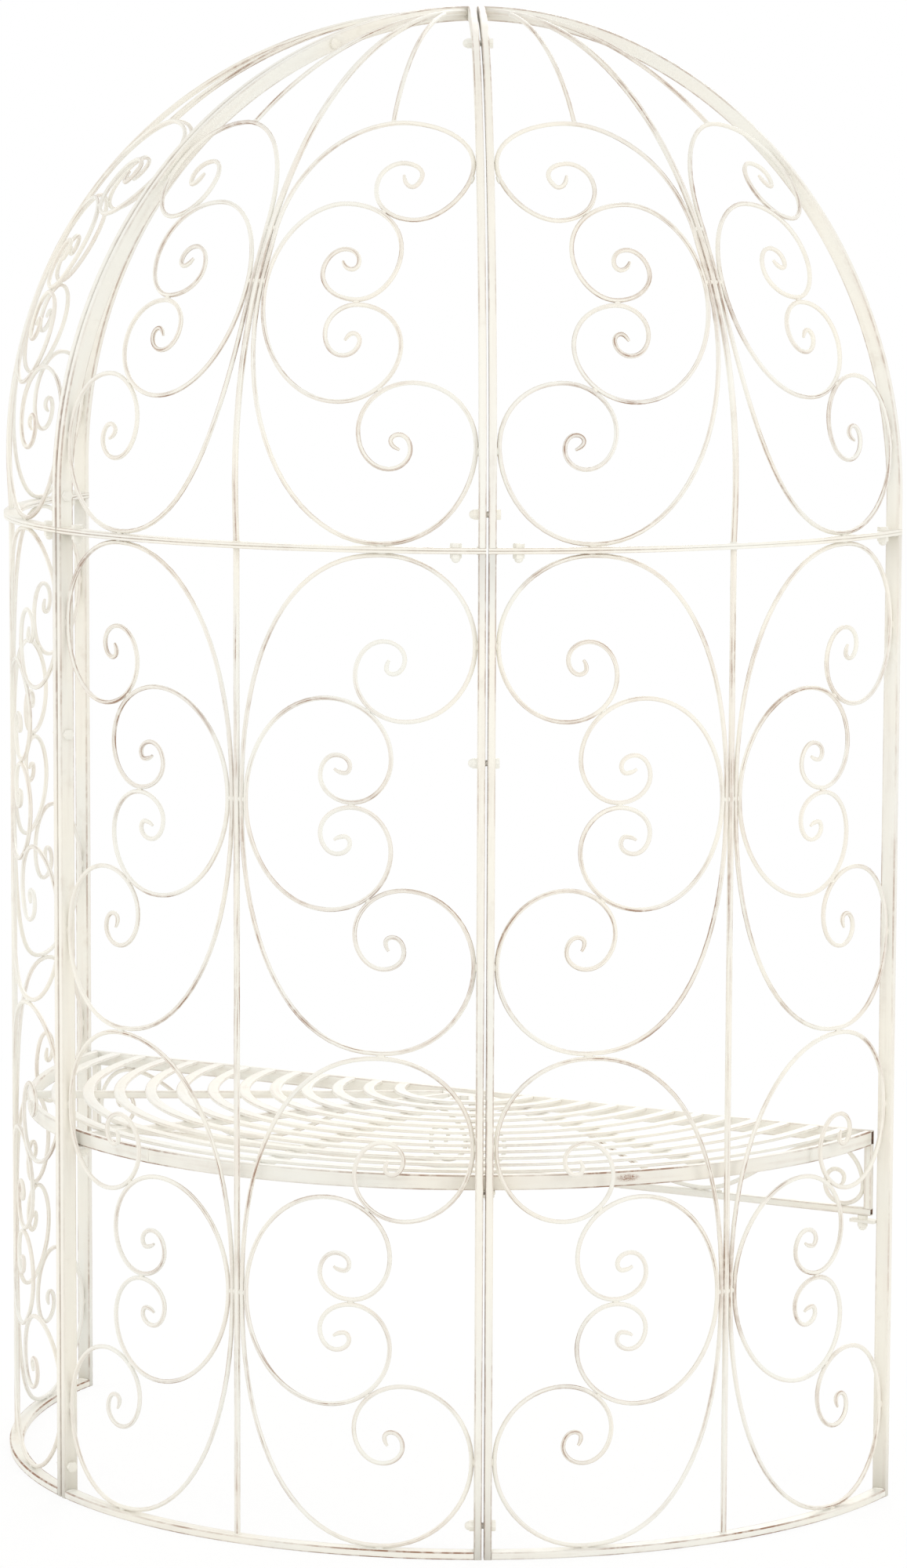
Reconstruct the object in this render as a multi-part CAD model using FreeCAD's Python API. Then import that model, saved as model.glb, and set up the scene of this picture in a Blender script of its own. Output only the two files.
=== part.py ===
"""Half-round steel arbour: scrollwork wall panels, dome gores and a slatted seat."""
import FreeCAD, Part
import os
from math import acos, cos, pi, radians, sin, tan

Vec = FreeCAD.Vector
UP = Vec(0, 0, 1)
ACROSS = Vec(1, 0, 0)
BACK = Vec(0, 1, 0)
os.makedirs("parts", exist_ok=True)

# Whole arbour, in millimetres
PANEL_COUNT = 3
WALL_RADIUS = 650.0
WALL_HEIGHT = 1310.0
SEAM_GAP = 3.0
WELD_GAP = 0.2

# Stock that the frame is made from
TUBE_DEPTH = 20.0
TUBE_WIDTH = 10.0
TUBE_WALL = 1.5
FLAT_THICKNESS = 4.0
WIRE = 6.0
ROD = 8.0

# Wall scrollwork: two equal tiers, drawn from the middle of a tier
TIER_COUNT = 2
BOTTOM_RAIL_HEIGHT = 10.0
WALL_POWER = 2.25

# Panel that the scroll pattern is drawn for; another size stretches the pattern with it
PATTERN_RADIUS = 650.0
PATTERN_TIER_HALF = 325.0

# Dome: a straight foot, then a quarter circle to the crown, with heights along a gore
DOME_FOOT = 42.0
DOME_BUNDLE_LOW = 335.5
DOME_BUNDLE_HIGH = 410.0
DOME_MEET = 311.0
DOME_SCROLL_TOP = 590.0
GORE_HIGH_POWER = 2.0
GORE_LOW_POWER = 2.15
GORE_BULGE = 18.0
CROWN_ROD_INSET = 23.0
CROWN_ROD_LIFT = 1.2
CROWN_ROD_MEET = 945.3
CLIMB_LIMIT = 88.0

# Each scroll's turning points, where it runs level or upright, in from its outer edge and down
# from its far edge: far, outer, near, inward, then round the curl. The last bend stops halfway.
WALL_LARGE = (
    (120, 0), (0, 115), (90, 213), (155, 155), (117, 110), (90, 133), (105, 152), (114, 145), (100, 129)
)
GORE_HIGH = ((108, 0), (0, 92), (53, 161), (114, 101), (90, 72), (61, 95), (68, 110), (91, 50))
GORE_LOW = (
    (119, 0), (0, 119), (88, 205), (152, 146), (110, 95), (83, 119), (99, 139), (109, 131), (68, 115)
)
# The inner scrolls are drawn the same way, but up from the line where the two of them meet
WALL_INNER = ((84, 137), (0, 60), (52, 0), (94, 37), (72, 64), (54, 50), (61, 41), (81, 58))
GORE_INNER_HIGH = ((88, 138), (0, 57), (44, 0), (95, 43), (72, 72), (51, 52), (58, 44), (78, 81))
GORE_INNER_LOW = ((73, 129), (0, 64), (65, 0), (101, 37), (73, 70), (54, 52), (64, 41), (77, 74))
TIP_SHARE = 0.5
# Straight stretches that each bend is drawn with
LARGE_STEPS = (4, 3, 3, 2, 2, 1, 1, 1, 1)
INNER_STEPS = (3, 2, 2, 2, 1, 1, 1, 1)
RING_STEPS = 3
RIB_STEPS = 10
CROWN_ROD_STEPS = 4
RIM_STEPS = 24
SLAT_STEPS = 10

# Seat
SEAT_HEIGHT = 503.0
SEAT_CLEARANCE = 8.0
SEAT_SETBACK = 2.0
RIM_HEIGHT = 20.0
RIM_WIDTH = 10.0
RIM_JOINT_ANGLES = (15.0, 105.0)
SLAT_COUNT = 12
SLAT_WIDTH = 16.0
SLAT_FIRST_RADIUS = 100.0
SLAT_LAST_GAP = 31.0
STAY_COUNT = 5
STAY_SIZE = 10.0
HUB_RADIUS = 40.0
HUB_SIDES = 12

# Apron under the front rail
APRON_DEPTH = 87.0
APRON_BAR = 10.0
APRON_SHOULDER = 49.0
APRON_SIDE_DROP = 55.0
APRON_VALLEY = 365.0
APRON_INNER_TOP = 90.0
APRON_CURL = ((30, 0), (56, 25), (41, 46), (28, 36), (34, 25))
APRON_STEPS = (3, 2, 2, 2, 1, 1)
WAVE_STEPS = 6

# Fasteners
BOLT = 8.0
BOLT_CLEARANCE = 0.4
BOLT_SIDES = 6
HEX_FLATS = 13.0
HEAD_HEIGHT = 5.5
CAP_HEIGHT = 12.0
CAP_HEX_HEIGHT = 6.5
CAP_TIP_SHARE = 0.4
SEAM_BOLT_LOW = 43.5
SEAM_BOLT_DROP = 268.0
GORE_BOLT_HIGH = 811.0
RING_BOLT_INSET = 40.0
TAB_LENGTH = 38.0
REAR_TAB_LENGTH = 30.0
TAB_WIDTH = 16.0
FRONT_STUD_INSET = 21.0
STUD_DEPTH = 10.0
OVERCUT = 1.0

# How closely the scrolls are fitted to the edge tubes and to each other
FINE_STEPS = 24
HALVINGS = 24

# Sizes that follow from those above
HALF_PANEL = radians(90.0 / PANEL_COUNT)
MID_RADIUS = WALL_RADIUS - TUBE_DEPTH / 2
SEAM_FACE = SEAM_GAP / 2
TUBE_FACE = SEAM_FACE + TUBE_WIDTH
WIRE_INSET = WIRE / 2 + WELD_GAP
NUT_ROOM = CAP_HEIGHT + WIRE_INSET
WIDE = WALL_RADIUS / PATTERN_RADIUS
LARGE_START = ROD / 2 + WIRE_INSET
INNER_START = LARGE_START + WIRE + WELD_GAP
FINE = (FINE_STEPS,) * len(WALL_LARGE)
JOINT_Z = WALL_HEIGHT + FLAT_THICKNESS
DOME_Z = JOINT_Z + FLAT_THICKNESS
DOME_LENGTH = DOME_FOOT + MID_RADIUS * pi / 2
TIER_HALF = (WALL_HEIGHT - BOTTOM_RAIL_HEIGHT) / TIER_COUNT / 2
POST_FACE = WALL_RADIUS - TUBE_DEPTH
RIM_OUTER = POST_FACE - SEAT_CLEARANCE
RIM_INNER = RIM_OUTER - RIM_WIDTH
RIM_MIDDLE = (RIM_OUTER + RIM_INNER) / 2
SEAT_FRONT = SEAM_FACE + SEAT_SETBACK
RAIL_MIDDLE = SEAT_FRONT + RIM_WIDTH / 2
RAIL_BACK = SEAT_FRONT + RIM_WIDTH
SEAT_UNDERSIDE = SEAT_HEIGHT - RIM_HEIGHT
STAY_TOP = SEAT_HEIGHT - FLAT_THICKNESS
STAY_BOTTOM = STAY_TOP - STAY_SIZE
STAY_END = RIM_INNER - STAY_SIZE / 2 * tan(pi / RIM_STEPS / 2) - WELD_GAP
APRON_TOP = SEAT_UNDERSIDE - WIRE_INSET
APRON_LOW = SEAT_UNDERSIDE - APRON_DEPTH
APRON_FLOOR = APRON_LOW + WIRE_INSET
APRON_SIDE = RIM_OUTER - APRON_BAR - WIRE_INSET
LOWER_UNDERSIDE = APRON_LOW - APRON_BAR
FRONT_TAB_TOP = LOWER_UNDERSIDE - HEAD_HEIGHT
FRONT_TAB_BOTTOM = FRONT_TAB_TOP - FLAT_THICKNESS
REAR_TAB_BOTTOM = SEAT_UNDERSIDE - FLAT_THICKNESS
TALL = TIER_HALF / PATTERN_TIER_HALF
BUNDLE_LOW = DOME_BUNDLE_LOW * WIDE
BUNDLE_HIGH = DOME_BUNDLE_HIGH * WIDE
GORE_MEET = DOME_MEET * WIDE
GORE_TOP = DOME_SCROLL_TOP * WIDE
ROD_MEET = CROWN_ROD_MEET * WIDE
BULGE = GORE_BULGE * WIDE
SHIFT = BACK * -(WALL_RADIUS + SEAM_FACE) * 0.5
PANELS = {"left": 2 * HALF_PANEL, "back": 0.0, "right": -2 * HALF_PANEL}
SEAMS = (HALF_PANEL, -HALF_PANEL)


def turned(shape, angle):
    """Copy of a shape turned about the arbour's upright axis."""
    copy = shape.copy()
    copy.rotate(Vec(0, 0, 0), UP, angle * 180 / pi)
    return copy


def save(name, solids):
    """Write one node, moved so that the origin is under the middle of the arbour."""
    group = Part.makeCompound(solids)
    group.translate(SHIFT)
    bad = [s for s in group.Solids if not s.isValid() or s.Volume <= 0]
    print(name, len(group.Solids), "solids", round(group.Volume / 1000, 1), "cm3", "BAD" if bad else "")
    group.exportStep("parts/" + name + ".step")


def box(x0, x1, y0, y1, z0, z1):
    return Part.makeBox(x1 - x0, y1 - y0, z1 - z0, Vec(x0, y0, z0))


def prism(sides, flats, length, start, along, upright=UP):
    """Regular prism measured across its flats, one flat facing the upright direction."""
    side = along.cross(upright).normalize()
    up = side.cross(along).normalize()
    reach = flats / 2 / cos(pi / sides)
    angles = [2 * pi * (i + 0.5) / sides for i in range(sides)]
    ring = [start + up * (reach * cos(a)) + side * (reach * sin(a)) for a in angles]
    return Part.Face(Part.makePolygon(ring + ring[:1])).extrude(along * length)


def wedge(inset, z0, z1):
    """Space of one panel between its two seam planes, each moved in by the inset."""
    apex = inset / sin(HALF_PANEL)
    reach = 2 * WALL_RADIUS
    wide = reach * sin(HALF_PANEL)
    far = apex + reach * cos(HALF_PANEL)
    corners = [Vec(0, apex, z0), Vec(wide, far, z0), Vec(-wide, far, z0), Vec(0, apex, z0)]
    return Part.Face(Part.makePolygon(corners)).extrude(UP * (z1 - z0))


# Surfaces that the scrollwork lies in: s runs across from the panel's middle, t runs up

def on_wall(s, t):
    angle = s / MID_RADIUS
    normal = Vec(sin(angle), cos(angle), 0)
    return normal * MID_RADIUS + UP * t, normal


def on_dome(s, t):
    """Point and outward direction on a gore, which swells a little beyond the ribs' circle."""
    climb = min(max((t - DOME_FOOT) / MID_RADIUS, 0.0), radians(CLIMB_LIMIT))
    angle = s / (MID_RADIUS * cos(climb))
    normal = Vec(sin(angle) * cos(climb), cos(angle) * cos(climb), sin(climb))
    swell = BULGE * sin(pi * t / DOME_LENGTH) * cos(pi / 2 * angle / HALF_PANEL)
    return UP * (DOME_Z + min(t, DOME_FOOT)) + normal * (MID_RADIUS + swell), normal


def on_rib(s, t):
    """Point and outward direction on a rib of the seam at the back, t measured along it."""
    climb = max(t - DOME_FOOT, 0.0) / MID_RADIUS
    normal = Vec(0, cos(climb), sin(climb))
    return Vec(s, 0, DOME_Z + min(t, DOME_FOOT)) + normal * MID_RADIUS, normal


def on_front(s, t):
    """Point in the seat's front plane, behind the middle of its rail."""
    return Vec(s, RAIL_MIDDLE, t), BACK


# Scroll outlines

def leg(start, end, upright_first, steps, power=2.0, share=1.0):
    """Share of a quarter ellipse or superellipse between two turning points, without its start."""
    points = []
    across = end[0] - start[0]
    along = end[1] - start[1]
    for i in range(1, steps + 1):
        angle = pi / 2 * share * i / steps
        rise = sin(angle) ** (2 / power)
        turn = max(cos(angle), 0.0) ** (2 / power)
        if upright_first:
            points.append((end[0] - across * turn, start[1] + along * rise))
        else:
            points.append((start[0] + across * rise, end[1] - along * turn))
    return points


def scroll(start, turns, steps, power=2.0):
    """Path from the bundle through a scroll's turning points to the end of its curl."""
    path = [start]
    upright = True
    for index, (point, count) in enumerate(zip(turns, steps)):
        share = TIP_SHARE if index == len(turns) - 1 else 1.0
        path += leg(path[-1], point, upright, count, power if index == 0 else 2.0, share)
        upright = not upright
    return path


def skin(rings):
    """Closed solid with flat faces over a row of rings, each with as many corners."""
    faces = [Part.Face(Part.makePolygon(ring + ring[:1])) for ring in (rings[0], rings[-1])]
    count = len(rings[0])
    for ring, following in zip(rings, rings[1:]):
        for i in range(count):
            j = (i + 1) % count
            faces.append(Part.Face(Part.makePolygon([ring[i], ring[j], following[j], ring[i]])))
            faces.append(Part.Face(Part.makePolygon([ring[i], following[j], following[i], ring[i]])))
    shell = Part.makeCompound(faces)
    shell.sewShape()
    solid = Part.Solid(shell.Shells[0])
    if solid.Volume < 0:
        solid.reverse()
    return solid


def bar(path, surface, across, deep):
    """Bar with a flat-sided section bent along a path, mitred where it turns."""
    places = [surface(s, t) for s, t in path]
    rings = []
    for i, (here, normal) in enumerate(places):
        before = places[max(i - 1, 0)][0]
        after = places[min(i + 1, len(places) - 1)][0]
        back = here - before if i else after - here
        ahead = after - here if i + 1 < len(places) else back
        back = (back - normal * back.dot(normal)).normalize()
        ahead = (ahead - normal * ahead.dot(normal)).normalize()
        along = (back + ahead).normalize()
        side = normal.cross(along) * (across / 2 / along.dot(ahead))
        lift = normal * (deep / 2)
        rings.append([here + side + lift, here - side + lift, here - side - lift, here + side - lift])
    return skin(rings)


def mirrored(path, s_sign=-1, t_sign=1):
    return [(s * s_sign, t * t_sign) for s, t in path]


def lifted(path, height):
    return [(s, t + height) for s, t in path]


def settle(low, high, clear):
    """Largest value between two limits that still leaves the piece clear."""
    for _ in range(HALVINGS):
        middle = (low + high) / 2
        if clear(middle):
            low = middle
        else:
            high = middle
    return low


def room_to_edge(path, surface):
    """Least distance from a path to the side face of its panel's edge tube."""
    seam = Vec(cos(HALF_PANEL), -sin(HALF_PANEL), 0)
    return min(-surface(s, t)[0].dot(seam) - TUBE_FACE for s, t in path)


def room_between(first, second, surface):
    """Least distance between two paths."""
    near = [surface(s, t)[0] for s, t in first]
    far = [surface(s, t)[0] for s, t in second]
    return min(a.distanceToPoint(b) for a in near for b in far)


def large_turns(offsets, edge, far, down):
    """Turning points of a large scroll, from its outer edge and its far edge."""
    return [(edge - across * WIDE, far - up * down) for across, up in offsets]


def inner_turns(offsets, edge, meet, up):
    """Turning points of an inner scroll, from its outer edge and the line where two meet."""
    clear = WIRE_INSET / abs(up)
    return [(edge - across * WIDE, meet + up * max(away, clear)) for across, away in offsets]


def fitted(surface, low, high, large, far, power, inner, meet, stretch):
    """One large and one inner scroll, let out until they touch the edge tube and each other."""
    start = (LARGE_START, high)

    def large_path(edge, steps):
        return scroll(start, large_turns(large, edge, far, stretch), steps, power)

    def inner_path(edge, steps):
        return scroll((INNER_START, low), inner_turns(inner, edge, meet, stretch), steps)

    def bulge(edge):
        return inner_path(edge, FINE)[FINE_STEPS:3 * FINE_STEPS]

    widest = MID_RADIUS * HALF_PANEL
    edge = settle(widest / 2, widest, lambda e: room_to_edge(large_path(e, FINE), surface) > WIRE_INSET)
    outline = large_path(edge, FINE)[2 * FINE_STEPS:4 * FINE_STEPS]
    free = settle(widest / 4, edge, lambda e: room_to_edge(inner_path(e, FINE), surface) > NUT_ROOM)
    inner_edge = settle(
        widest / 4,
        free,
        lambda e: room_between(bulge(e), outline, surface) > WIRE + WELD_GAP,
    )
    return large_path(edge, LARGE_STEPS), inner_path(inner_edge, INNER_STEPS)


def joined(upper, lower):
    """One wire that runs from the lower curl through the bundle to the upper curl."""
    tail = list(reversed(lower))
    if tail[-1] == upper[0]:
        tail = tail[:-1]
    return tail + upper


def both_sides(path):
    return [path, mirrored(path)]


def hex_bolt(bearing, along, grip, upright):
    """Hex head against its bearing face, and a shank that reaches through the grip."""
    head = prism(6, HEX_FLATS, HEAD_HEIGHT, bearing - along * HEAD_HEIGHT, along, upright)
    return head.fuse(prism(BOLT_SIDES, BOLT, grip, bearing, along, upright)).Solids[0]


def bolt_hole(start, along, length, upright):
    """Cutter for a bolt's hole, run past both of its faces."""
    sides = BOLT_SIDES, BOLT + BOLT_CLEARANCE
    return prism(*sides, length + 2 * OVERCUT, start - along * OVERCUT, along, upright)


def cap_nut(bearing, along, upright):
    """Hex nut closed by a stepped dome."""
    side = along.cross(upright).normalize()
    rings = []
    for height, share in ((0, 1), (CAP_HEX_HEIGHT, 1), (CAP_HEIGHT, CAP_TIP_SHARE)):
        reach = HEX_FLATS / 2 / cos(pi / 6) * share
        turns = [pi / 3 * (i + 0.5) for i in range(6)]
        centre = bearing + along * height
        rings.append([centre + upright * (reach * cos(a)) + side * (reach * sin(a)) for a in turns])
    return skin(rings)


# Panels: everything is drawn in the back panel, then turned to its place

def panel_edges(turn):
    """Turn of each edge tube's seam, its side of it, and whether another panel is bolted there."""
    for corner, side in ((HALF_PANEL, 1), (-HALF_PANEL, -1)):
        yield turn + corner, side, abs(turn + corner) < pi / 2 - HALF_PANEL


def ring_bar(inset, z0, z1):
    """Bent bar of one panel that follows the wall, its ends cut along the seams."""
    middle = (z0 + z1) / 2
    reach = MID_RADIUS * HALF_PANEL
    path = [(reach * i / RING_STEPS, middle) for i in range(-RING_STEPS, RING_STEPS + 1)]
    return bar(path, on_wall, z1 - z0, TUBE_DEPTH).common(wedge(inset, z0, z1)).Solids[0]


def with_ring_holes(solid, z0):
    for place, outward in ring_bolt_places():
        solid = solid.cut(bolt_hole(place + UP * z0, UP, FLAT_THICKNESS, outward))
    return solid.Solids[0]


def ring_bolt_places():
    """Places at floor level of a panel's two ring bolts, with the direction outwards."""
    for side in (-1, 1):
        angle = side * (HALF_PANEL - RING_BOLT_INSET / MID_RADIUS)
        outward = Vec(sin(angle), cos(angle), 0)
        yield outward * MID_RADIUS, outward


def seam_bolt_places():
    """Centres of the bolts along a seam: two on the uprights, then two on the dome ribs."""
    walls = [Vec(0, MID_RADIUS, z) for z in (SEAM_BOLT_LOW, WALL_HEIGHT - SEAM_BOLT_DROP)]
    gores = [on_rib(0, t)[0] for t in (DOME_FOOT, GORE_BOLT_HIGH * WIDE)]
    return walls, gores


def drilled(tube, places, bolted):
    """Edge tube with a hole for each seam bolt, if another panel is bolted there."""
    for place in places if bolted else ():
        tube = tube.cut(bolt_hole(place - ACROSS * TUBE_FACE, ACROSS, 2 * TUBE_FACE, UP))
    return tube.Solids[0]


def edge_tube(side, bolted):
    """Open-ended upright tube beside one seam."""
    x0, x1 = sorted((side * SEAM_FACE, side * TUBE_FACE))
    y0 = WALL_RADIUS - TUBE_DEPTH
    tube = box(x0, x1, y0, WALL_RADIUS, 0, WALL_HEIGHT)
    bore = box(x0 + TUBE_WALL, x1 - TUBE_WALL, y0 + TUBE_WALL, WALL_RADIUS - TUBE_WALL, 0, WALL_HEIGHT)
    return drilled(tube.cut(bore), seam_bolt_places()[0], bolted)


def rib(side, bolted):
    """Dome rib: straight foot and quarter circle, mitred against its twin at the crown."""
    place = side * (SEAM_FACE + TUBE_FACE) / 2
    arc = MID_RADIUS * pi / 2
    path = [(place, 0)] + [(place, DOME_FOOT + arc * i / RIB_STEPS) for i in range(RIB_STEPS + 1)]
    solid = drilled(bar(path, on_rib, TUBE_WIDTH, TUBE_DEPTH), seam_bolt_places()[1], bolted)
    reach = 2 * WALL_RADIUS
    base = UP * (DOME_Z - OVERCUT)
    mitre = [base, base + Vec(side * reach * sin(HALF_PANEL), reach * cos(HALF_PANEL), 0)]
    mitre += [base + Vec(-side * reach, reach, 0), base]
    return solid.common(Part.Face(Part.makePolygon(mitre)).extrude(UP * reach)).Solids[0]


def wall_scrolls(half):
    """Wires of both tiers and both sides of a panel, from the upper half of one of them."""
    whole = joined(half, mirrored(half, 1, -1))
    wires = []
    for tier in range(TIER_COUNT):
        middle = BOTTOM_RAIL_HEIGHT + TIER_HALF * (2 * tier + 1)
        wires += [bar(p, on_wall, WIRE, WIRE) for p in both_sides(lifted(whole, middle))]
    return wires


def dome_rod():
    """Centre rod of a gore, from the base bar to the crown where the ribs close on it."""
    end_radius = (TUBE_FACE + WELD_GAP) / sin(HALF_PANEL) + ROD / 2 / tan(HALF_PANEL)
    arc = MID_RADIUS * acos(end_radius / MID_RADIUS)
    path = [(0, 0)] + [(0, DOME_FOOT + arc * i / RIB_STEPS) for i in range(RIB_STEPS + 1)]
    return bar(path, on_dome, ROD, ROD)


def height_at(path, place):
    """Height at which the first bend of a scroll passes over a place."""
    for (s0, t0), (s1, t1) in zip(path, path[1:]):
        if s0 <= place <= s1:
            return t0 + (t1 - t0) * (place - s0) / (s1 - s0)


def crown_rods(foot_s, foot_t):
    """Two thin rods from the top scrolls, leaning in until they meet the centre rod."""
    shares = [i / CROWN_ROD_STEPS for i in range(CROWN_ROD_STEPS + 1)]
    path = [(foot_s + (LARGE_START - foot_s) * k, foot_t + (ROD_MEET - foot_t) * k) for k in shares]
    return [bar(p, on_dome, WIRE, WIRE) for p in both_sides(path)]


wall_large, wall_inner = fitted(
    on_wall, 0.0, 0.0, WALL_LARGE, TIER_HALF - WIRE_INSET, WALL_POWER, WALL_INNER, 0.0, TALL
)
gore_large_high, gore_inner_high = fitted(
    on_dome, BUNDLE_LOW, BUNDLE_HIGH, GORE_HIGH, GORE_TOP, GORE_HIGH_POWER, GORE_INNER_HIGH, GORE_MEET, WIDE
)
gore_large_low, gore_inner_low = fitted(
    on_dome, BUNDLE_LOW, BUNDLE_LOW, GORE_LOW, WIRE_INSET, GORE_LOW_POWER, GORE_INNER_LOW, GORE_MEET, -WIDE
)
crown_foot = gore_large_high[LARGE_STEPS[0]][0] - CROWN_ROD_INSET * WIDE
crown_foot_height = height_at(gore_large_high, crown_foot) + WIRE_INSET + CROWN_ROD_LIFT
wall_rod_foot = BACK * MID_RADIUS + UP * BOTTOM_RAIL_HEIGHT
wall_rod = prism(8, ROD, WALL_HEIGHT - BOTTOM_RAIL_HEIGHT, wall_rod_foot, UP, BACK)
gore_large = joined(gore_large_high, gore_large_low)
gore_inner = joined(gore_inner_high, gore_inner_low)
PANEL_PIECES = {
    "wall_bottom_rail": [ring_bar(TUBE_FACE, 0, BOTTOM_RAIL_HEIGHT)],
    "wall_top_bar": [with_ring_holes(ring_bar(SEAM_FACE, WALL_HEIGHT, JOINT_Z), WALL_HEIGHT)],
    "wall_center_rod": [wall_rod],
    "wall_large_scrolls": wall_scrolls(wall_large),
    "wall_inner_scrolls": wall_scrolls(wall_inner),
    "dome_base_bar": [with_ring_holes(ring_bar(SEAM_FACE, JOINT_Z, DOME_Z), JOINT_Z)],
    "dome_center_rod": [dome_rod()],
    "dome_large_scrolls": [bar(p, on_dome, WIRE, WIRE) for p in both_sides(gore_large)],
    "dome_inner_scrolls": [bar(p, on_dome, WIRE, WIRE) for p in both_sides(gore_inner)],
    "dome_crown_rods": crown_rods(crown_foot, crown_foot_height),
}
for panel, turn in PANELS.items():
    for piece, solids in PANEL_PIECES.items():
        save(panel + "_" + piece, [turned(solid, turn) for solid in solids])
    edges = list(panel_edges(turn))
    save(panel + "_wall_uprights", [turned(edge_tube(side, bolted), at) for at, side, bolted in edges])
    save(panel + "_dome_ribs", [turned(rib(side, bolted), at) for at, side, bolted in edges])


# Seat

def on_level(s, t):
    """Point of a level plan, s to the right and t to the back."""
    return Vec(s, t, 0), UP


def half_ring(radius, across, z0, z1, steps):
    """Flat bar bent to a half circle, its ends cut against the back of the front rail."""
    path = [(radius * cos(pi * i / steps), radius * sin(pi * i / steps)) for i in range(steps + 1)]
    ring = bar(path, on_level, across, z1 - z0)
    ring.translate(UP * ((z0 + z1) / 2))
    behind = box(-WALL_RADIUS, WALL_RADIUS, RAIL_BACK, WALL_RADIUS, z0, z1)
    return ring.common(behind).Solids[0]


def sector(start, end, z0, z1):
    """Space between two upright planes through the axis, angles from the left front post."""
    reach = 3 * WALL_RADIUS
    corners = [Vec(0, 0, z0)]
    corners += [Vec(-reach * cos(radians(a)), reach * sin(radians(a)), z0) for a in (start, end)]
    return Part.Face(Part.makePolygon(corners + corners[:1])).extrude(UP * (z1 - z0))


def slats():
    last = RIM_INNER - SLAT_LAST_GAP
    pitch = (last - SLAT_FIRST_RADIUS) / (SLAT_COUNT - 1)
    radii = [SLAT_FIRST_RADIUS + pitch * i for i in range(SLAT_COUNT)]
    return [half_ring(r, SLAT_WIDTH, STAY_TOP, SEAT_HEIGHT, SLAT_STEPS) for r in radii]


def stays():
    """Spokes under the slats, from the hub to the rim."""
    bars = []
    for i in range(STAY_COUNT):
        angle = pi * (i + 1) / (STAY_COUNT + 1) - pi / 2
        stay = box(-STAY_SIZE / 2, STAY_SIZE / 2, HUB_RADIUS, STAY_END, STAY_BOTTOM, STAY_TOP)
        bars.append(turned(stay, angle))
    return bars


def tube(x0, x1, y0, y1, z0, z1):
    """Open-ended straight tube that runs across the seat."""
    w = TUBE_WALL
    return box(x0, x1, y0, y1, z0, z1).cut(box(x0, x1, y0 + w, y1 - w, z0 + w, z1 - w))


rim = half_ring(RIM_MIDDLE, RIM_WIDTH, SEAT_UNDERSIDE, SEAT_HEIGHT, RIM_STEPS)
stud_places = []
for seam in SEAMS:
    outward = Vec(-sin(seam), cos(seam), 0)
    beside = Vec(-cos(seam), -sin(seam), 0) * (SEAM_FACE + TUBE_WIDTH / 2)
    stud_places.append((outward * RIM_MIDDLE + beside, outward))
for place, outward in stud_places:
    foot = place + UP * SEAT_UNDERSIDE
    rim = rim.cut(bolt_hole(foot, UP, STUD_DEPTH - OVERCUT, outward))
cuts = (0.0,) + RIM_JOINT_ANGLES + (180.0,)
for part, start, end in zip(("left", "back", "right"), cuts, cuts[1:]):
    piece = rim.common(sector(start, end, SEAT_UNDERSIDE, SEAT_HEIGHT)).Solids[0]
    save("seat_rim_" + part, [piece])

rail = tube(-RIM_OUTER, RIM_OUTER, SEAT_FRONT, RAIL_BACK, SEAT_UNDERSIDE, SEAT_HEIGHT)
save("seat_front_rail", [rail])
save("seat_slats", slats())
save("seat_stays", stays())
hub = prism(HUB_SIDES, 2 * HUB_RADIUS, STAY_SIZE, UP * STAY_BOTTOM, UP, BACK)
hub = hub.common(box(-HUB_RADIUS, HUB_RADIUS, RAIL_BACK, HUB_RADIUS, 0, SEAT_HEIGHT))
save("seat_hub", hub.Solids)


# Apron between the front rail and a lower rail

def apron_end(side, top, inward):
    """One end of an apron wire, from its level top down the side and into the curl."""
    turns = [(side, APRON_TOP - APRON_SIDE_DROP)]
    turns += [(side + inward * across, APRON_FLOOR + up) for across, up in APRON_CURL]
    path = [(top, APRON_TOP)]
    upright = False
    for point, count in zip(turns, APRON_STEPS):
        path += leg(path[-1], point, upright, count)
        upright = not upright
    return path


def wave(start, end):
    """Swinging stretch between two level points, without its first point."""
    points = []
    for i in range(1, WAVE_STEPS + 1):
        share = (1 - cos(pi * i / WAVE_STEPS)) / 2
        across = start[0] + (end[0] - start[0]) * i / WAVE_STEPS
        points.append((across, start[1] + (end[1] - start[1]) * share))
    return points


outer_end = apron_end(APRON_SIDE, APRON_SIDE - APRON_SHOULDER, -1)
inner_end = apron_end(WIRE_INSET, APRON_INNER_TOP, 1)
valley = (APRON_VALLEY, APRON_FLOOR)
apron_wire = list(reversed(outer_end)) + wave(outer_end[0], valley) + wave(valley, inner_end[0])
apron_wire += inner_end[1:]
save("apron_scrolls", [bar(p, on_front, WIRE, WIRE) for p in both_sides(apron_wire)])
lower = tube(-RIM_OUTER, RIM_OUTER, SEAT_FRONT, RAIL_BACK, APRON_LOW - APRON_BAR, APRON_LOW)
save("apron_lower_rail", [lower])
posts = []
for side in (-1, 1):
    x0, x1 = sorted((side * RIM_OUTER, side * (RIM_OUTER - APRON_BAR)))
    posts.append(box(x0, x1, SEAT_FRONT, RAIL_BACK, APRON_LOW, SEAT_UNDERSIDE))
save("apron_end_posts", posts)


# Tabs that carry the seat on the walls

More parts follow.
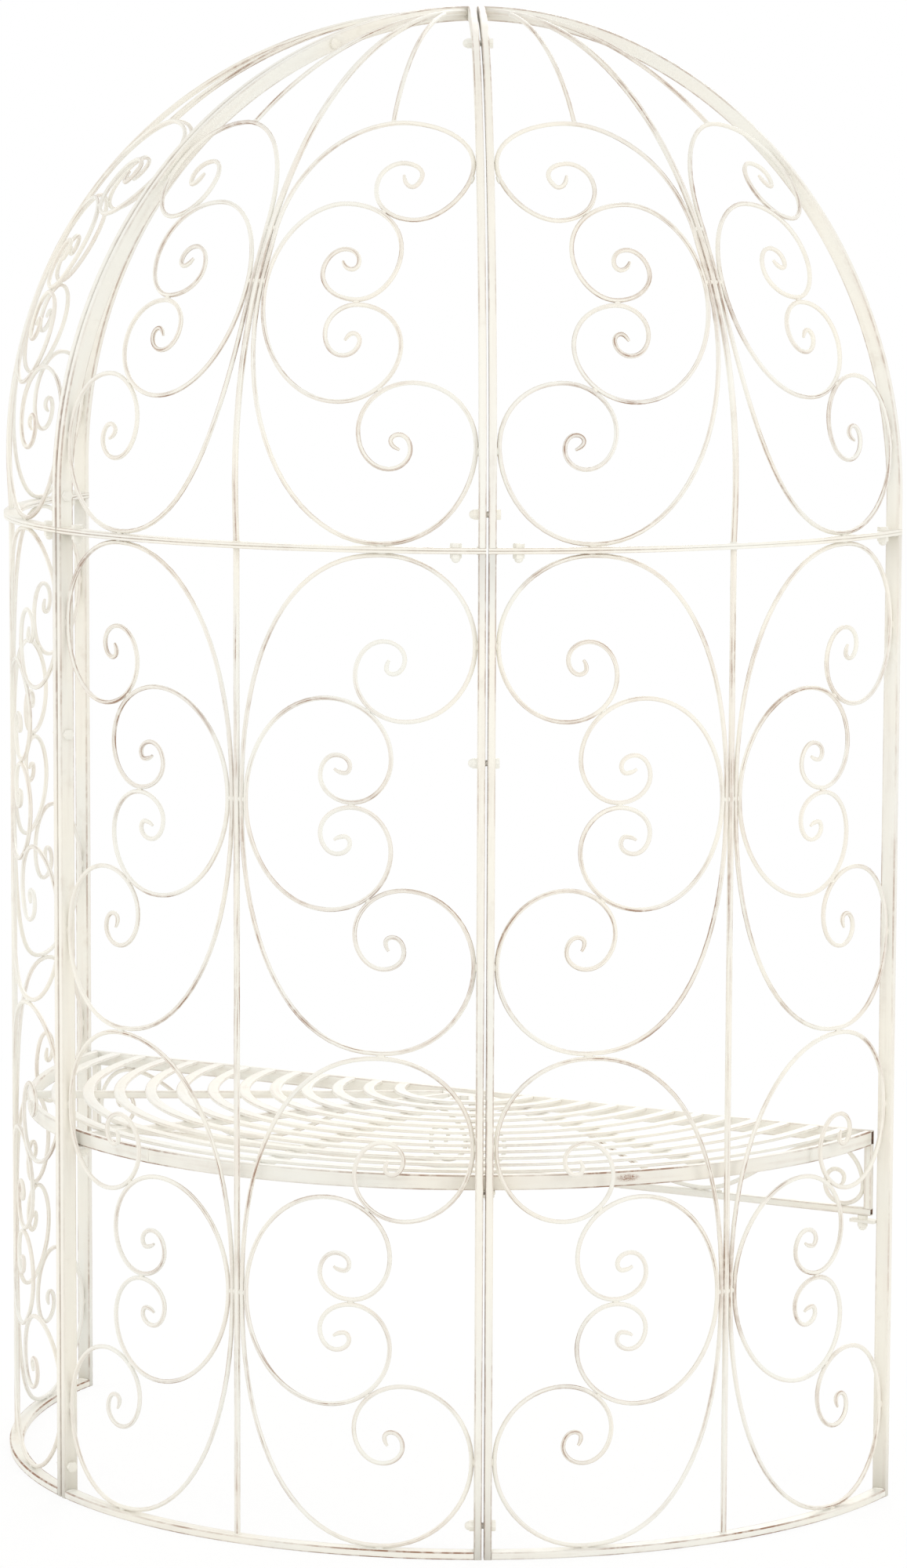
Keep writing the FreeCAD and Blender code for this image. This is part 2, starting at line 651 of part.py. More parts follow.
front_studs = []
front_tabs = []
for side in (-1, 1):
    x0, x1 = sorted((side * POST_FACE, side * (POST_FACE - TAB_LENGTH)))
    place = Vec(side * (POST_FACE - FRONT_STUD_INSET), RAIL_MIDDLE, 0)
    tab = box(x0, x1, SEAM_FACE, SEAM_FACE + TAB_WIDTH, FRONT_TAB_BOTTOM, FRONT_TAB_TOP)
    hole = bolt_hole(place + UP * FRONT_TAB_BOTTOM, UP, FLAT_THICKNESS, BACK)
    front_tabs.append(tab.cut(hole).Solids[0])
    front_studs.append(place)
save("front_seat_tabs", front_tabs)
rear_tabs = []
for seam, (place, outward) in zip(SEAMS, stud_places):
    x0 = -SEAM_FACE - TUBE_WIDTH / 2 - TAB_WIDTH / 2
    y0 = POST_FACE - REAR_TAB_LENGTH
    tab = box(x0, x0 + TAB_WIDTH, y0, POST_FACE, REAR_TAB_BOTTOM, SEAT_UNDERSIDE)
    hole = bolt_hole(place + UP * REAR_TAB_BOTTOM, UP, FLAT_THICKNESS, outward)
    rear_tabs.append(turned(tab, seam).cut(hole).Solids[0])
save("rear_seat_tabs", rear_tabs)


# Fasteners

seam_bolts = []
seam_nuts = []
for seam in SEAMS:
    walls, gores = seam_bolt_places()
    for place in walls + gores:
        bolt = hex_bolt(place - ACROSS * TUBE_FACE, ACROSS, 2 * TUBE_FACE, UP)
        seam_bolts.append(turned(bolt, seam))
        seam_nuts.append(turned(cap_nut(place + ACROSS * TUBE_FACE, ACROSS, UP), seam))
save("seam_bolts", seam_bolts)
save("seam_cap_nuts", seam_nuts)
ring_bolts = []
ring_nuts = []
for turn in PANELS.values():
    for place, outward in ring_bolt_places():
        bolt = hex_bolt(place + UP * DOME_Z, UP * -1, 2 * FLAT_THICKNESS, outward)
        ring_bolts.append(turned(bolt, turn))
        ring_nuts.append(turned(cap_nut(place + UP * WALL_HEIGHT, UP * -1, outward), turn))
save("ring_bolts", ring_bolts)
save("ring_cap_nuts", ring_nuts)
seat_bolts = []
seat_nuts = []
for place in front_studs:
    seat_bolts.append(hex_bolt(place + UP * FRONT_TAB_TOP, UP * -1, FLAT_THICKNESS, BACK))
    seat_nuts.append(cap_nut(place + UP * FRONT_TAB_BOTTOM, UP * -1, BACK))
for place, outward in stud_places:
    foot = place + UP * REAR_TAB_BOTTOM
    seat_bolts.append(prism(BOLT_SIDES, BOLT, STUD_DEPTH + FLAT_THICKNESS, foot, UP, outward))
    seat_nuts.append(cap_nut(foot, UP * -1, outward))
save("seat_bolts", seat_bolts)
save("seat_cap_nuts", seat_nuts)
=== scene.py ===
"""Half-round garden arbour of cream painted steel: its looks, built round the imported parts."""
import math

import bpy
import bmesh
from mathutils import Matrix, Vector


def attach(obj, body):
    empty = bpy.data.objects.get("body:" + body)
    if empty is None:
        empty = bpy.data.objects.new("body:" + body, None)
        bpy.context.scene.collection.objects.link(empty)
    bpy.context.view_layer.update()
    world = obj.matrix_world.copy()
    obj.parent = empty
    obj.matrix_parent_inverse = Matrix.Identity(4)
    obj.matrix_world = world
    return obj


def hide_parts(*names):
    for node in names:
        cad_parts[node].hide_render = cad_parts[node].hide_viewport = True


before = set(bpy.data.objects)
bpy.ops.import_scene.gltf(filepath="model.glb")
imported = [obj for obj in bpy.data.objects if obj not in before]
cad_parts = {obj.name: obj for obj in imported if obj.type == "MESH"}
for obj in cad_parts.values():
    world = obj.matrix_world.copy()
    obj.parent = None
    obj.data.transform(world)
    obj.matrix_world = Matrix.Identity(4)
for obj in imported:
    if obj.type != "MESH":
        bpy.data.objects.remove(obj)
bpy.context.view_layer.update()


# Edge tubes of the wall panels: thin steel tube, 20 by 10 mm with rolled corners, standing on its
# narrow side at both edges of each panel. Two tubes of neighbouring panels stand a washer's
# thickness apart at a seam, and the whole is sprayed cream over a brown primer and rubbed through.
MM = 0.001
PANELS = {"left": math.radians(60), "back": 0.0, "right": math.radians(-60)}
HALF_PANEL = math.radians(30)
WALL_RADIUS = 650.0
TUBE_DEPTH = 20.0
TUBE_WIDTH = 10.0
TUBE_WALL = 1.5
SEAM_FACE = 1.5
SEAM_FADE = 1.2
SEAMS = (HALF_PANEL, -HALF_PANEL)
TUBE_FACE = SEAM_FACE + TUBE_WIDTH
BESIDE_SEAM = SEAM_FACE + TUBE_WIDTH / 2
MID_RADIUS = WALL_RADIUS - TUBE_DEPTH / 2
WALL_HEIGHT = 1310.0
FRONT_TO_MIDDLE = (WALL_RADIUS + SEAM_FACE) / 2
TUBE_CORNER = 1.6
UP = Vector((0, 0, 1))
BACK = Vector((0, 1, 0))
ACROSS = Vector((1, 0, 0))


def turned(vector, angle):
    return Matrix.Rotation(angle, 3, "Z") @ vector


def in_frame(point):
    """Point measured in millimetres from the wall's axis, as metres in the part's frame."""
    return Vector((point.x, point.y - FRONT_TO_MIDDLE, point.z)) * MM


def spaced(start, end, steps):
    """Even steps from one number to another, both included."""
    return [start + (end - start) * k / steps for k in range(steps + 1)]


def add(tree, kind, inputs=None, output=None, **settings):
    """Add a node and give back one of its outputs: the one named, or else the first in use.

    Each input, by number or name, is set to a plain value or linked from a socket.
    """
    node = tree.nodes.new(kind)
    for name, value in settings.items():
        setattr(node, name, value)
    for entry, value in (inputs or {}).items():
        if isinstance(entry, int):
            socket = node.inputs[entry]
        else:
            socket = next(i for i in node.inputs if i.enabled and i.name == entry)
        if isinstance(value, bpy.types.NodeSocket):
            tree.links.new(value, socket)
        else:
            socket.default_value = value
    return next((o for o in node.outputs if o.enabled and output in (None, o.name)), None)


def maths(operation, *values):
    """Arithmetic on sockets and numbers, a socket first, taken from first to last."""
    result, tree = values[0], values[0].id_data
    for value in values[1:]:
        result = add(tree, "ShaderNodeMath", {0: result, 1: value}, operation=operation)
    return result if len(values) > 1 else add(tree, "ShaderNodeMath", {0: result}, operation=operation)


def times(*values):
    return maths("MULTIPLY", *values)


def between(value, low, high, out_low=0.0, out_high=1.0):
    """Value spread from the range low..high to out_low..out_high, with soft ends."""
    ranges = {"Value": value, "From Min": low, "From Max": high, "To Min": out_low, "To Max": out_high}
    return add(value.id_data, "ShaderNodeMapRange", ranges, interpolation_type="SMOOTHSTEP")


def noise(vector, scale, detail=2.0, roughness=0.5):
    return add(vector.id_data, "ShaderNodeTexNoise",
               {"Vector": vector, "Scale": scale, "Detail": detail, "Roughness": roughness})


def blended(share, first, second):
    """Colour mix; either colour may be a socket or plain numbers."""
    first, second = ((*c, 1.0) if isinstance(c, tuple) else c for c in (first, second))
    return add(share.id_data, "ShaderNodeMix", {"Factor": share, "A": first, "B": second}, data_type="RGBA")


def new_paint(name):
    """New material, with its node tree and its shader's inputs."""
    paint = bpy.data.materials.new(name)
    paint.use_nodes = True
    return paint, paint.node_tree, paint.node_tree.nodes["Principled BSDF"].inputs


CREAM_WARM = (0.848, 0.824, 0.748)
CREAM_COOL = (0.822, 0.820, 0.772)
THIN_COAT = (0.770, 0.710, 0.645)
PRIMER = (0.300, 0.170, 0.110)
# Brown for real stains, also used for the painted shade round the dark spot on the rim.
STAIN_AND_SHADE = (0.560, 0.480, 0.400)
# Near black inside the tubes: painted shade.
BORE_SHADE = (0.060, 0.048, 0.040)
STREAK_LENGTH = 9.0
STREAK_WIDTH = 1.2
NEXT_WIRE = 7.31
# Span across x over which the rub-through fades, so the +x side is painted paler: painted light.
PALE_SIDE_FROM, PALE_SIDE_TO = 0.15, 0.60
# Dark spot on the rim, and the wide painted shade round it.
SPOT_FLAT = (1.0, 1.0, 3.2)
SPOT_REACH, SPOT_CORE = 0.021, 0.006
SHADE_REACH, SHADE_CORE = 0.50, 0.10


def rubbed_paint(name, streaks=1.0, edges=1.0, shift=0.0, spot_centre=None):
    """Satin cream over primer: cloudy coats, rub-through in hairlines along the stock and on edges."""
    paint, tree, shader = new_paint(name)
    along, around, wire, edge, seam = (add(tree, "ShaderNodeAttribute", output="Fac", attribute_name=own)
                                       for own in ("along", "around", "wire", "edge", "seam"))
    here = add(tree, "ShaderNodeTexCoord", output="Object")
    place = add(tree, "ShaderNodeVectorMath", {0: here, 1: (shift, shift * 0.7, 0.0)}, operation="ADD")

    angle = times(around, 2 * math.pi)
    run = maths("ADD", times(along, STREAK_LENGTH), times(wire, NEXT_WIRE))
    across = times(maths("COSINE", angle), STREAK_WIDTH)
    beside = times(maths("SINE", angle), STREAK_WIDTH)
    ring = add(tree, "ShaderNodeCombineXYZ", {"X": run, "Y": across, "Z": beside})
    hairlines = between(noise(ring, 1.0, 3.0, 0.55), 0.47, 0.68)
    # Towards +x the rub-through fades to about a third: that side is painted paler, as painted light.
    to_side = add(tree, "ShaderNodeSeparateXYZ", {0: here}, output="X")
    patches = between(noise(place, 6.0, 3.0), 0.38, 0.58)
    patches = times(patches, between(to_side, PALE_SIDE_FROM, PALE_SIDE_TO, 1.0, 0.35))
    fray = between(noise(place, 75.0, 3.0, 0.6), 0.32, 0.60, 0.40, 1.0)
    rub = times(hairlines, patches, fray, 0.85 * streaks)
    edge_patches = between(noise(place, 5.0, 3.0), 0.40, 0.60, 0.12, 1.0)
    edge_rub = times(between(edge, 0.78, 1.0), fray, edge_patches, 0.62 * edges)
    # Rub-through and edge wear, and from the seam mark the painted shade in the gaps between edge tubes.
    rub_and_shade = maths("MAXIMUM", rub, edge_rub, times(seam, fray, 0.85))

    coats = blended(between(noise(place, 4.5, 3.0), 0.35, 0.65), CREAM_WARM, CREAM_COOL)
    thin = between(noise(ring, 0.7, 2.0, 0.5), 0.46, 0.66)
    coats = blended(times(thin, 0.16 + 0.36 * streaks), coats, THIN_COAT)
    stains = between(noise(place, 24.0, 4.0, 0.6), 0.58, 0.80)
    coats = blended(times(stains, 0.30), coats, STAIN_AND_SHADE)
    # Round a given centre: a dark spot of primer brown, and round it a wide brown veil that is painted shade.
    if spot_centre is not None:
        middle = [-c * f for c, f in zip(spot_centre, SPOT_FLAT)]
        away = add(tree, "ShaderNodeVectorMath", {0: here, 1: SPOT_FLAT, 2: middle}, operation="MULTIPLY_ADD")
        far = add(tree, "ShaderNodeVectorMath", {0: away}, operation="LENGTH")
        spot_breakup = between(noise(away, 330.0, 4.0, 0.65), 0.42, 0.58, 0.25, 1.0)
        spot = times(between(far, SPOT_REACH, SPOT_CORE), spot_breakup)
        rub_and_shade = maths("MAXIMUM", rub_and_shade, spot)
        coats = blended(between(far, SHADE_REACH, SHADE_CORE, 0.02, 0.16), coats, STAIN_AND_SHADE)
    tree.links.new(blended(rub_and_shade, coats, PRIMER), shader["Base Color"])
    gloss = between(noise(place, 60.0, 2.0), 0.3, 0.7, 0.40, 0.52)
    tree.links.new(maths("ADD", gloss, times(rub_and_shade, 0.25)), shader["Roughness"])
    shader["Specular IOR Level"].default_value = 0.4

    grain = times(noise(place, 420.0, 2.0), 0.6)
    relief = {"Strength": 0.25, "Distance": 0.08 * MM, "Height": maths("SUBTRACT", grain, rub_and_shade)}
    tree.links.new(add(tree, "ShaderNodeBump", relief), shader["Normal"])
    return paint


def shaded_bore(name):
    """Inside of a tube: near black as painted shade deep inside it, with runs of the thin brown primer that has
    run in.
    """
    paint, tree, shader = new_paint(name)
    place = add(tree, "ShaderNodeTexCoord", output="Object")
    runs = between(noise(place, 90.0, 3.0), 0.35, 0.65)
    tree.links.new(blended(runs, BORE_SHADE, PRIMER), shader["Base Color"])
    tree.links.new(between(noise(place, 300.0, 2.0), 0.3, 0.7, 0.6, 0.8), shader["Roughness"])
    return paint


def new_group(name, **inputs):
    """New geometry node tree with named inputs, and the outputs of its input node."""
    tree = bpy.data.node_groups.new(name, "GeometryNodeTree")
    tree.interface.new_socket("Geometry", in_out="INPUT", socket_type="NodeSocketGeometry")
    for entry, kind in inputs.items():
        entry = entry.replace("_", " ").capitalize()
        tree.interface.new_socket(entry, in_out="INPUT", socket_type="NodeSocket" + kind)
    tree.interface.new_socket("Geometry", in_out="OUTPUT", socket_type="NodeSocketGeometry")
    return tree, tree.nodes.new("NodeGroupInput").outputs


def read(tree, name, kind="FLOAT_VECTOR"):
    """What the mesh's points carry under a name."""
    return add(tree, "GeometryNodeInputNamedAttribute", {"Name": name}, data_type=kind)


def store(geometry, name, value, domain="POINT"):
    """The geometry with a number stored on it for the paint."""
    return add(geometry.id_data, "GeometryNodeStoreNamedAttribute",
               {"Geometry": geometry, "Name": name, "Value": value}, data_type="FLOAT", domain=domain)


def finish_group(geometry, paint):
    """End the tree: real geometry with its material."""
    tree = geometry.id_data
    real = add(tree, "GeometryNodeRealizeInstances", {"Geometry": geometry})
    painted = add(tree, "GeometryNodeSetMaterial", {"Geometry": real, "Material": paint})
    add(tree, "NodeGroupOutput", {"Geometry": painted})
    return tree


def bent_stock():
    """Node tree that draws bar, tube or wire stock along each path, and marks it for the paint."""
    tree, given = new_group("bent_stock", across="Float", deep="Float", corner_radius="Float",
                            corner_facets="Int", round_facets="Int", round="Bool", closed_ends="Bool",
                            paint="Material")
    line = add(tree, "GeometryNodeMeshToCurve", {"Mesh": given["Geometry"]})
    facing = add(tree, "GeometryNodeSetCurveNormal", {"Curve": line, "Normal": read(tree, "outward")},
                 mode="FREE")
    path = store(facing, "along", add(tree, "GeometryNodeSplineParameter", output="Length"))

    flat = add(tree, "GeometryNodeCurvePrimitiveQuadrilateral",
               {"Width": given["Deep"], "Height": given["Across"]})
    split = add(tree, "GeometryNodeSubdivideCurve", {"Curve": flat, "Cuts": 3})
    place = add(tree, "GeometryNodeInputPosition")
    near = []
    for axis, size in (("X", "Deep"), ("Y", "Across")):
        reach = maths("ABSOLUTE", add(tree, "ShaderNodeSeparateXYZ", {0: place}, output=axis))
        near.append(maths("DIVIDE", reach, given[size]))
    at_corner = maths("GREATER_THAN", maths("MINIMUM", *near), 0.49)
    rolled = add(tree, "GeometryNodeFilletCurve",
                 {"Curve": store(split, "edge", at_corner), "Count": given["Corner facets"],
                  "Radius": given["Corner radius"]}, mode="POLY")
    circle = add(tree, "GeometryNodeCurvePrimitiveCircle",
                 {"Resolution": given["Round facets"], "Radius": times(given["Across"], 0.5)})
    outline = add(tree, "GeometryNodeSwitch",
                  {"Switch": given["Round"], "False": rolled, "True": circle}, input_type="GEOMETRY")
    section = store(outline, "around", add(tree, "GeometryNodeSplineParameter"))

    swept = add(tree, "GeometryNodeCurveToMesh",
                {"Curve": path, "Profile Curve": section, "Scale": read(tree, "girth", "FLOAT"),
                 "Fill Caps": given["Closed ends"]})
    joined = add(tree, "GeometryNodeMergeByDistance", {"Geometry": swept, "Distance": 0.002 * MM})
    return finish_group(joined, given["Paint"])


BENT_STOCK = bent_stock()


def baked(piece, modifier_inputs, tree):
    """Give the piece the node tree's result as a plain mesh."""
    modifier = piece.modifiers.new("made", "NODES")
    modifier.node_group = tree
    identifiers = {i.name: i.identifier for i in tree.interface.items_tree if i.in_out == "INPUT"}
    for name, value in modifier_inputs.items():
        modifier[identifiers[name]] = value
    mesh = bpy.data.meshes.new_from_object(piece.evaluated_get(bpy.context.evaluated_depsgraph_get()))
    piece.modifiers.remove(modifier)
    piece.data = mesh
    form = bmesh.new()
    form.from_mesh(mesh)
    if form.calc_volume(signed=True) < 0:
        bmesh.ops.reverse_faces(form, faces=form.faces)
        form.to_mesh(mesh)
    form.free()
    return piece


def in_scene(name, data):
    """Object of its own in the scene, at the origin."""
    made = bpy.data.objects.new(name, data)
    bpy.context.scene.collection.objects.link(made)
    return made


def carrying(name, points, edges=(), **numbers):
    """Piece of bare points and edges, which carry the given numbers or vectors for a node tree."""
    mesh = bpy.data.meshes.new(name)
    mesh.from_pydata(points, edges, [])
    for label, values in numbers.items():
        kind, slot = ("FLOAT_VECTOR", "vector") if len(values) > len(points) else ("FLOAT", "value")
        mesh.attributes.new(label, kind, "POINT").data.foreach_set(slot, values)
    return in_scene(name, mesh)


def stock(name, paths, paint, across, deep=None, corner=0.0, open_tube=False):
    """Piece of one or more lengths of stock, round where it has no depth.

    A path is a list of (point, outward) or (point, outward, girth).
    """
    points, outward, girth, wire, edges = [], [], [], [], []
    for number, path in enumerate(paths):
        first = len(points)
        for step in path:
            points.append(in_frame(step[0]))
            outward += step[1][:]
            girth.append(step[2] if len(step) > 2 else 1.0)
            wire.append(float(number))
        edges += [(i, i + 1) for i in range(first, len(points) - 1)]
    piece = carrying(name, points, edges, outward=outward, girth=girth, wire=wire)
    baked(piece, {
        "Across": across * MM, "Deep": (deep or across) * MM, "Corner radius": corner * MM, "Corner facets": 3,
        "Round facets": 12, "Round": deep is None, "Closed ends": not open_tube, "Paint": paint,
    }, BENT_STOCK)
    piece.data.shade_smooth()
    piece.data.set_sharp_from_angle(angle=math.radians(50))
    if open_tube:
        # The inner shell gets the bore paint, which is painted shade inside the tube.
        piece.data.materials.append(SHADED_BORE_PAINT)
        wall = piece.modifiers.new("wall", "SOLIDIFY")
        wall.thickness = TUBE_WALL * MM
        wall.offset = -1
        wall.material_offset = 1
    return piece


def fitted(piece, node):
    """Hand the finished piece to the frame: it rides on the one body and stands for its node."""
    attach(piece, "root")
    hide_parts(node)


TUBE_PAINT = rubbed_paint("cream_tube_paint", streaks=0.12, edges=0.9)
SHADED_BORE_PAINT = shaded_bore("shaded_tube_bore")


def edge_lines(turn, inset):
    """For each edge of a panel, the outward direction and the place of a line beside its seam."""
    seams = ((turn + side * HALF_PANEL, side) for side in (1, -1))
    return [(turned(BACK, seam), turned(ACROSS, seam) * (side * inset)) for seam, side in seams]


# Painted shade in the narrow gaps at the seams: full low down and on the -x side, weaker higher up and on the
# +x side.
SEAM_LOW, SEAM_HIGH = 300.0, 1000.0
LIT_SIDE_SHADE = 0.35
SEAM_PALE = 0.55


def shade_seams(piece, shade_amount=1.0):
    """Paint shade on the sides that face a seam, where the gap between two tubes is narrow: painted shade,
    stronger low down and on the -x side.
    """
    marked = piece.data.attributes.new("seam", "FLOAT", "POINT")
    for vertex in piece.data.vertices:
        place = vertex.co / MM + BACK * FRONT_TO_MIDDLE
        gaps = [abs(turned(ACROSS, seam).dot(place)) - SEAM_FACE for seam in SEAMS
                if turned(BACK, seam).dot(place) > 0]
        near = max(0.0, 1 - min(gaps, default=SEAM_FADE) / SEAM_FADE)
        low = min(max((SEAM_HIGH - place.z) / (SEAM_HIGH - SEAM_LOW), 0.0), 1.0)
        weight = 1.0 if place.x < 0 else LIT_SIDE_SHADE
        marked.data[vertex.index].value = near * shade_amount * weight * (SEAM_PALE + (1 - SEAM_PALE) * low)


for panel, turn in PANELS.items():
    lengths = [[(outward * MID_RADIUS + beside + UP * z, outward) for z in spaced(0, WALL_HEIGHT, 8)]
               for outward, beside in edge_lines(turn, BESIDE_SEAM)]
    tubes = stock(panel + "_edge_tubes", lengths, TUBE_PAINT, TUBE_WIDTH, TUBE_DEPTH, TUBE_CORNER, True)
    shade_seams(tubes)
    fitted(tubes, panel + "_wall_uprights")


# Bottom rails and ring bars: one bent length to a panel. The rail is the same tube laid flat on the
# ground between the feet of the edge tubes; the ring bars are 20 by 4 mm flat, one welded over the
# ends of the wall tubes and one under the dome ribs, and the two are bolted face to face.
RAIL_HEIGHT = 10.0
FLAT = 4.0
FLAT_ROLLED = FLAT - 0.1
JOINT_Z = WALL_HEIGHT + FLAT
DOME_Z = JOINT_Z + FLAT
RING_STEPS = 40
FLAT_CORNER = 0.9


def on_wall(s, t):
    """Point of the wall and its outward direction, s across from a panel's middle, t up."""
    angle = s / MID_RADIUS
    outward = Vector((math.sin(angle), math.cos(angle), 0))
    return outward * MID_RADIUS + UP * t, outward


def around_panel(turn, inset, z):
    reach = HALF_PANEL - math.asin(inset / MID_RADIUS)
    outwards = [turned(BACK, angle) for angle in spaced(turn + reach, turn - reach, RING_STEPS)]
    return [(outward * MID_RADIUS + UP * z, outward) for outward in outwards]


RAIL_PAINT = rubbed_paint("cream_rail_paint", streaks=0.15, edges=1.7, shift=3.1)
RING_PAINT = rubbed_paint("cream_ring_paint", streaks=0.15, edges=0.6, shift=4.4)
for panel, turn in PANELS.items():
    rail = stock(panel + "_bottom_rail", [around_panel(turn, TUBE_FACE, RAIL_HEIGHT / 2)], RAIL_PAINT,
                 RAIL_HEIGHT, TUBE_DEPTH, TUBE_CORNER)
    fitted(rail, panel + "_wall_bottom_rail")
    for part, node, z in (("wall", "top", WALL_HEIGHT), ("dome", "base", JOINT_Z)):
        ring = stock(f"{panel}_{part}_ring_bar", [around_panel(turn, SEAM_FACE, z + FLAT / 2)], RING_PAINT,
                     FLAT_ROLLED, TUBE_DEPTH, FLAT_CORNER)
        fitted(ring, f"{panel}_{part}_{node}_bar")


# Scrollwork of the wall: 6 mm wire bent cold over a jig into a large and a small scroll on each side
# of an 8 mm centre rod, the same in both tiers. The wires touch where they are welded: to the rod,
# to each other, to the ring bar and rail, and to the edge tubes.
WIRE = 6.0
ROD = 8.0
GAP = 0.2
TIER_HALF = (WALL_HEIGHT - RAIL_HEIGHT) / 4
LARGE_START = ROD / 2 + WIRE / 2 + GAP
SMALL_START = LARGE_START + WIRE + GAP
# Where each bend turns: in from the outer edge, and down from the far edge or up from the middle
WALL_LARGE = (
    (120, 0), (0, 115), (90, 213), (155, 155), (117, 110), (90, 133), (105, 152), (114, 145), (100, 129)
)
WALL_SMALL = ((84, 137), (0, 60), (52, 3.2), (94, 37), (72, 64), (54, 50), (61, 41), (81, 58))
WALL_LARGE_EDGE = 320.4
WALL_SMALL_EDGE = 212.94
WALL_POWER = 2.25
BEND_STEPS = (20, 14, 14, 12, 10, 8, 6, 5, 5)
TIP_SHARE = 0.5
TIP_LENGTH = 9.0
TIP_GIRTH = 0.62
ROD_STEPS = 60


def leg(start, end, upright_first, steps, power=2.0, share=1.0):
    """Share of a quarter ellipse or superellipse between two turning points, without its start."""
    across, along = end[0] - start[0], end[1] - start[1]
    points = []
    for k in range(1, steps + 1):
        angle = math.pi / 2 * share * k / steps
        rise = math.sin(angle) ** (2 / power)
        turn = max(math.cos(angle), 0.0) ** (2 / power)
        if upright_first:
            points.append((end[0] - across * turn, start[1] + along * rise))
        else:
            points.append((start[0] + across * rise, end[1] - along * turn))
    return points


def scroll(foot, offsets, edge, level, sign, power=2.0):
    """Path from the bundle through a scroll's turning points; the last bend stops halfway."""
    path = [foot]
    for index, ((inset, reach), steps) in enumerate(zip(offsets, BEND_STEPS)):
        share = TIP_SHARE if index == len(offsets) - 1 else 1.0
        point = (edge - inset, level + sign * reach)
        path += leg(path[-1], point, index % 2 == 0, steps, power if index == 0 else 2.0, share)
    return path


def whole(upper, lower):
    """One wire from the lower curl through the bundle to the upper curl."""
    tail = lower[::-1]
    return tail[:-1] + upper if tail[-1] == upper[0] else tail + upper


def wire_path(flat_path, surface, turn, mirror=1, tip=TIP_GIRTH):
    """The drawn path laid on its surface, its cut ends slightly tapered."""
    path = [surface(mirror * s, t) for s, t in flat_path]
    runs = [0.0]
    for (p, _), (q, _) in zip(path, path[1:]):
        runs.append(runs[-1] + (q - p).length)
    tapers = [min(run, runs[-1] - run, TIP_LENGTH) / TIP_LENGTH for run in runs]
    return [(turned(p, turn), turned(n, turn), tip + (1 - tip) * k) for (p, n), k in zip(path, tapers)]


large_half = scroll((LARGE_START, 0.0), WALL_LARGE, WALL_LARGE_EDGE, TIER_HALF - WIRE / 2 - GAP, -1, WALL_POWER)
small_half = scroll((SMALL_START, 0.0), WALL_SMALL, WALL_SMALL_EDGE, 0.0, 1)
TIERS = [RAIL_HEIGHT + TIER_HALF, RAIL_HEIGHT + 3 * TIER_HALF]
WIRE_PAINT = rubbed_paint("cream_wire_paint", streaks=1.15)
for panel, turn in PANELS.items():
    for size, node, half in (("large", "large", large_half), ("small", "inner", small_half)):
        drawn = whole(half, [(s, -t) for s, t in half])
        wires = [wire_path([(s, t + z) for s, t in drawn], on_wall, turn, m) for z in TIERS for m in (1, -1)]
        fitted(stock(f"{panel}_wall_{size}_scrolls", wires, WIRE_PAINT, WIRE),
               f"{panel}_wall_{node}_scrolls")
    back = turned(BACK, turn)
    rod = [(back * MID_RADIUS + UP * z, back) for z in spaced(RAIL_HEIGHT, WALL_HEIGHT, ROD_STEPS)]
    fitted(stock(panel + "_wall_centre_rod", [rod], WIRE_PAINT, ROD), panel + "_wall_center_rod")


# Dome ribs: the same tube as the wall's edges, straight at the foot and then rolled to a quarter
# circle, mitred at the crown against the other rib of its own panel.
DOME_FOOT = 42.0
ARC_Z = DOME_Z + DOME_FOOT
RIB_STEPS = 72
RIB_SEAM_SHADE = 0.4


def rib_path(outward, beside):
    path = [(outward * MID_RADIUS + beside + UP * z, outward) for z in (DOME_Z, DOME_Z + DOME_FOOT / 2)]
    for climb in spaced(0, math.pi / 2, RIB_STEPS):
        facing = outward * math.cos(climb) + UP * math.sin(climb)
        path.append((beside + UP * ARC_Z + facing * MID_RADIUS, facing))
    return path


def mitred(piece, turn):
    """Cut each rib's reach past the panel's middle plane away, and close the cut."""
    across = turned(ACROSS, turn)
    form = bmesh.new()
    form.from_mesh(piece.data)
    number = form.verts.layers.float["wire"]
    for rib, beyond in ((0, across), (1, -across)):
        parts = [v for v in form.verts if v[number] == rib]
        parts += [e for e in form.edges if e.verts[0][number] == rib]
        parts += [f for f in form.faces if f.verts[0][number] == rib]
        cut = bmesh.ops.bisect_plane(form, geom=parts, plane_co=in_frame(Vector()), plane_no=beyond,
                                     clear_outer=True)
        rim = [e for e in cut["geom_cut"] if isinstance(e, bmesh.types.BMEdge)]
        bmesh.ops.holes_fill(form, edges=rim, sides=0)
    form.to_mesh(piece.data)
    form.free()


for panel, turn in PANELS.items():
    ribs = stock(panel + "_dome_ribs", [rib_path(*line) for line in edge_lines(turn, BESIDE_SEAM)], TUBE_PAINT,
                 TUBE_WIDTH, TUBE_DEPTH, TUBE_CORNER)
    mitred(ribs, turn)
    shade_seams(ribs, RIB_SEAM_SHADE)
    fitted(ribs, panel + "_dome_ribs")


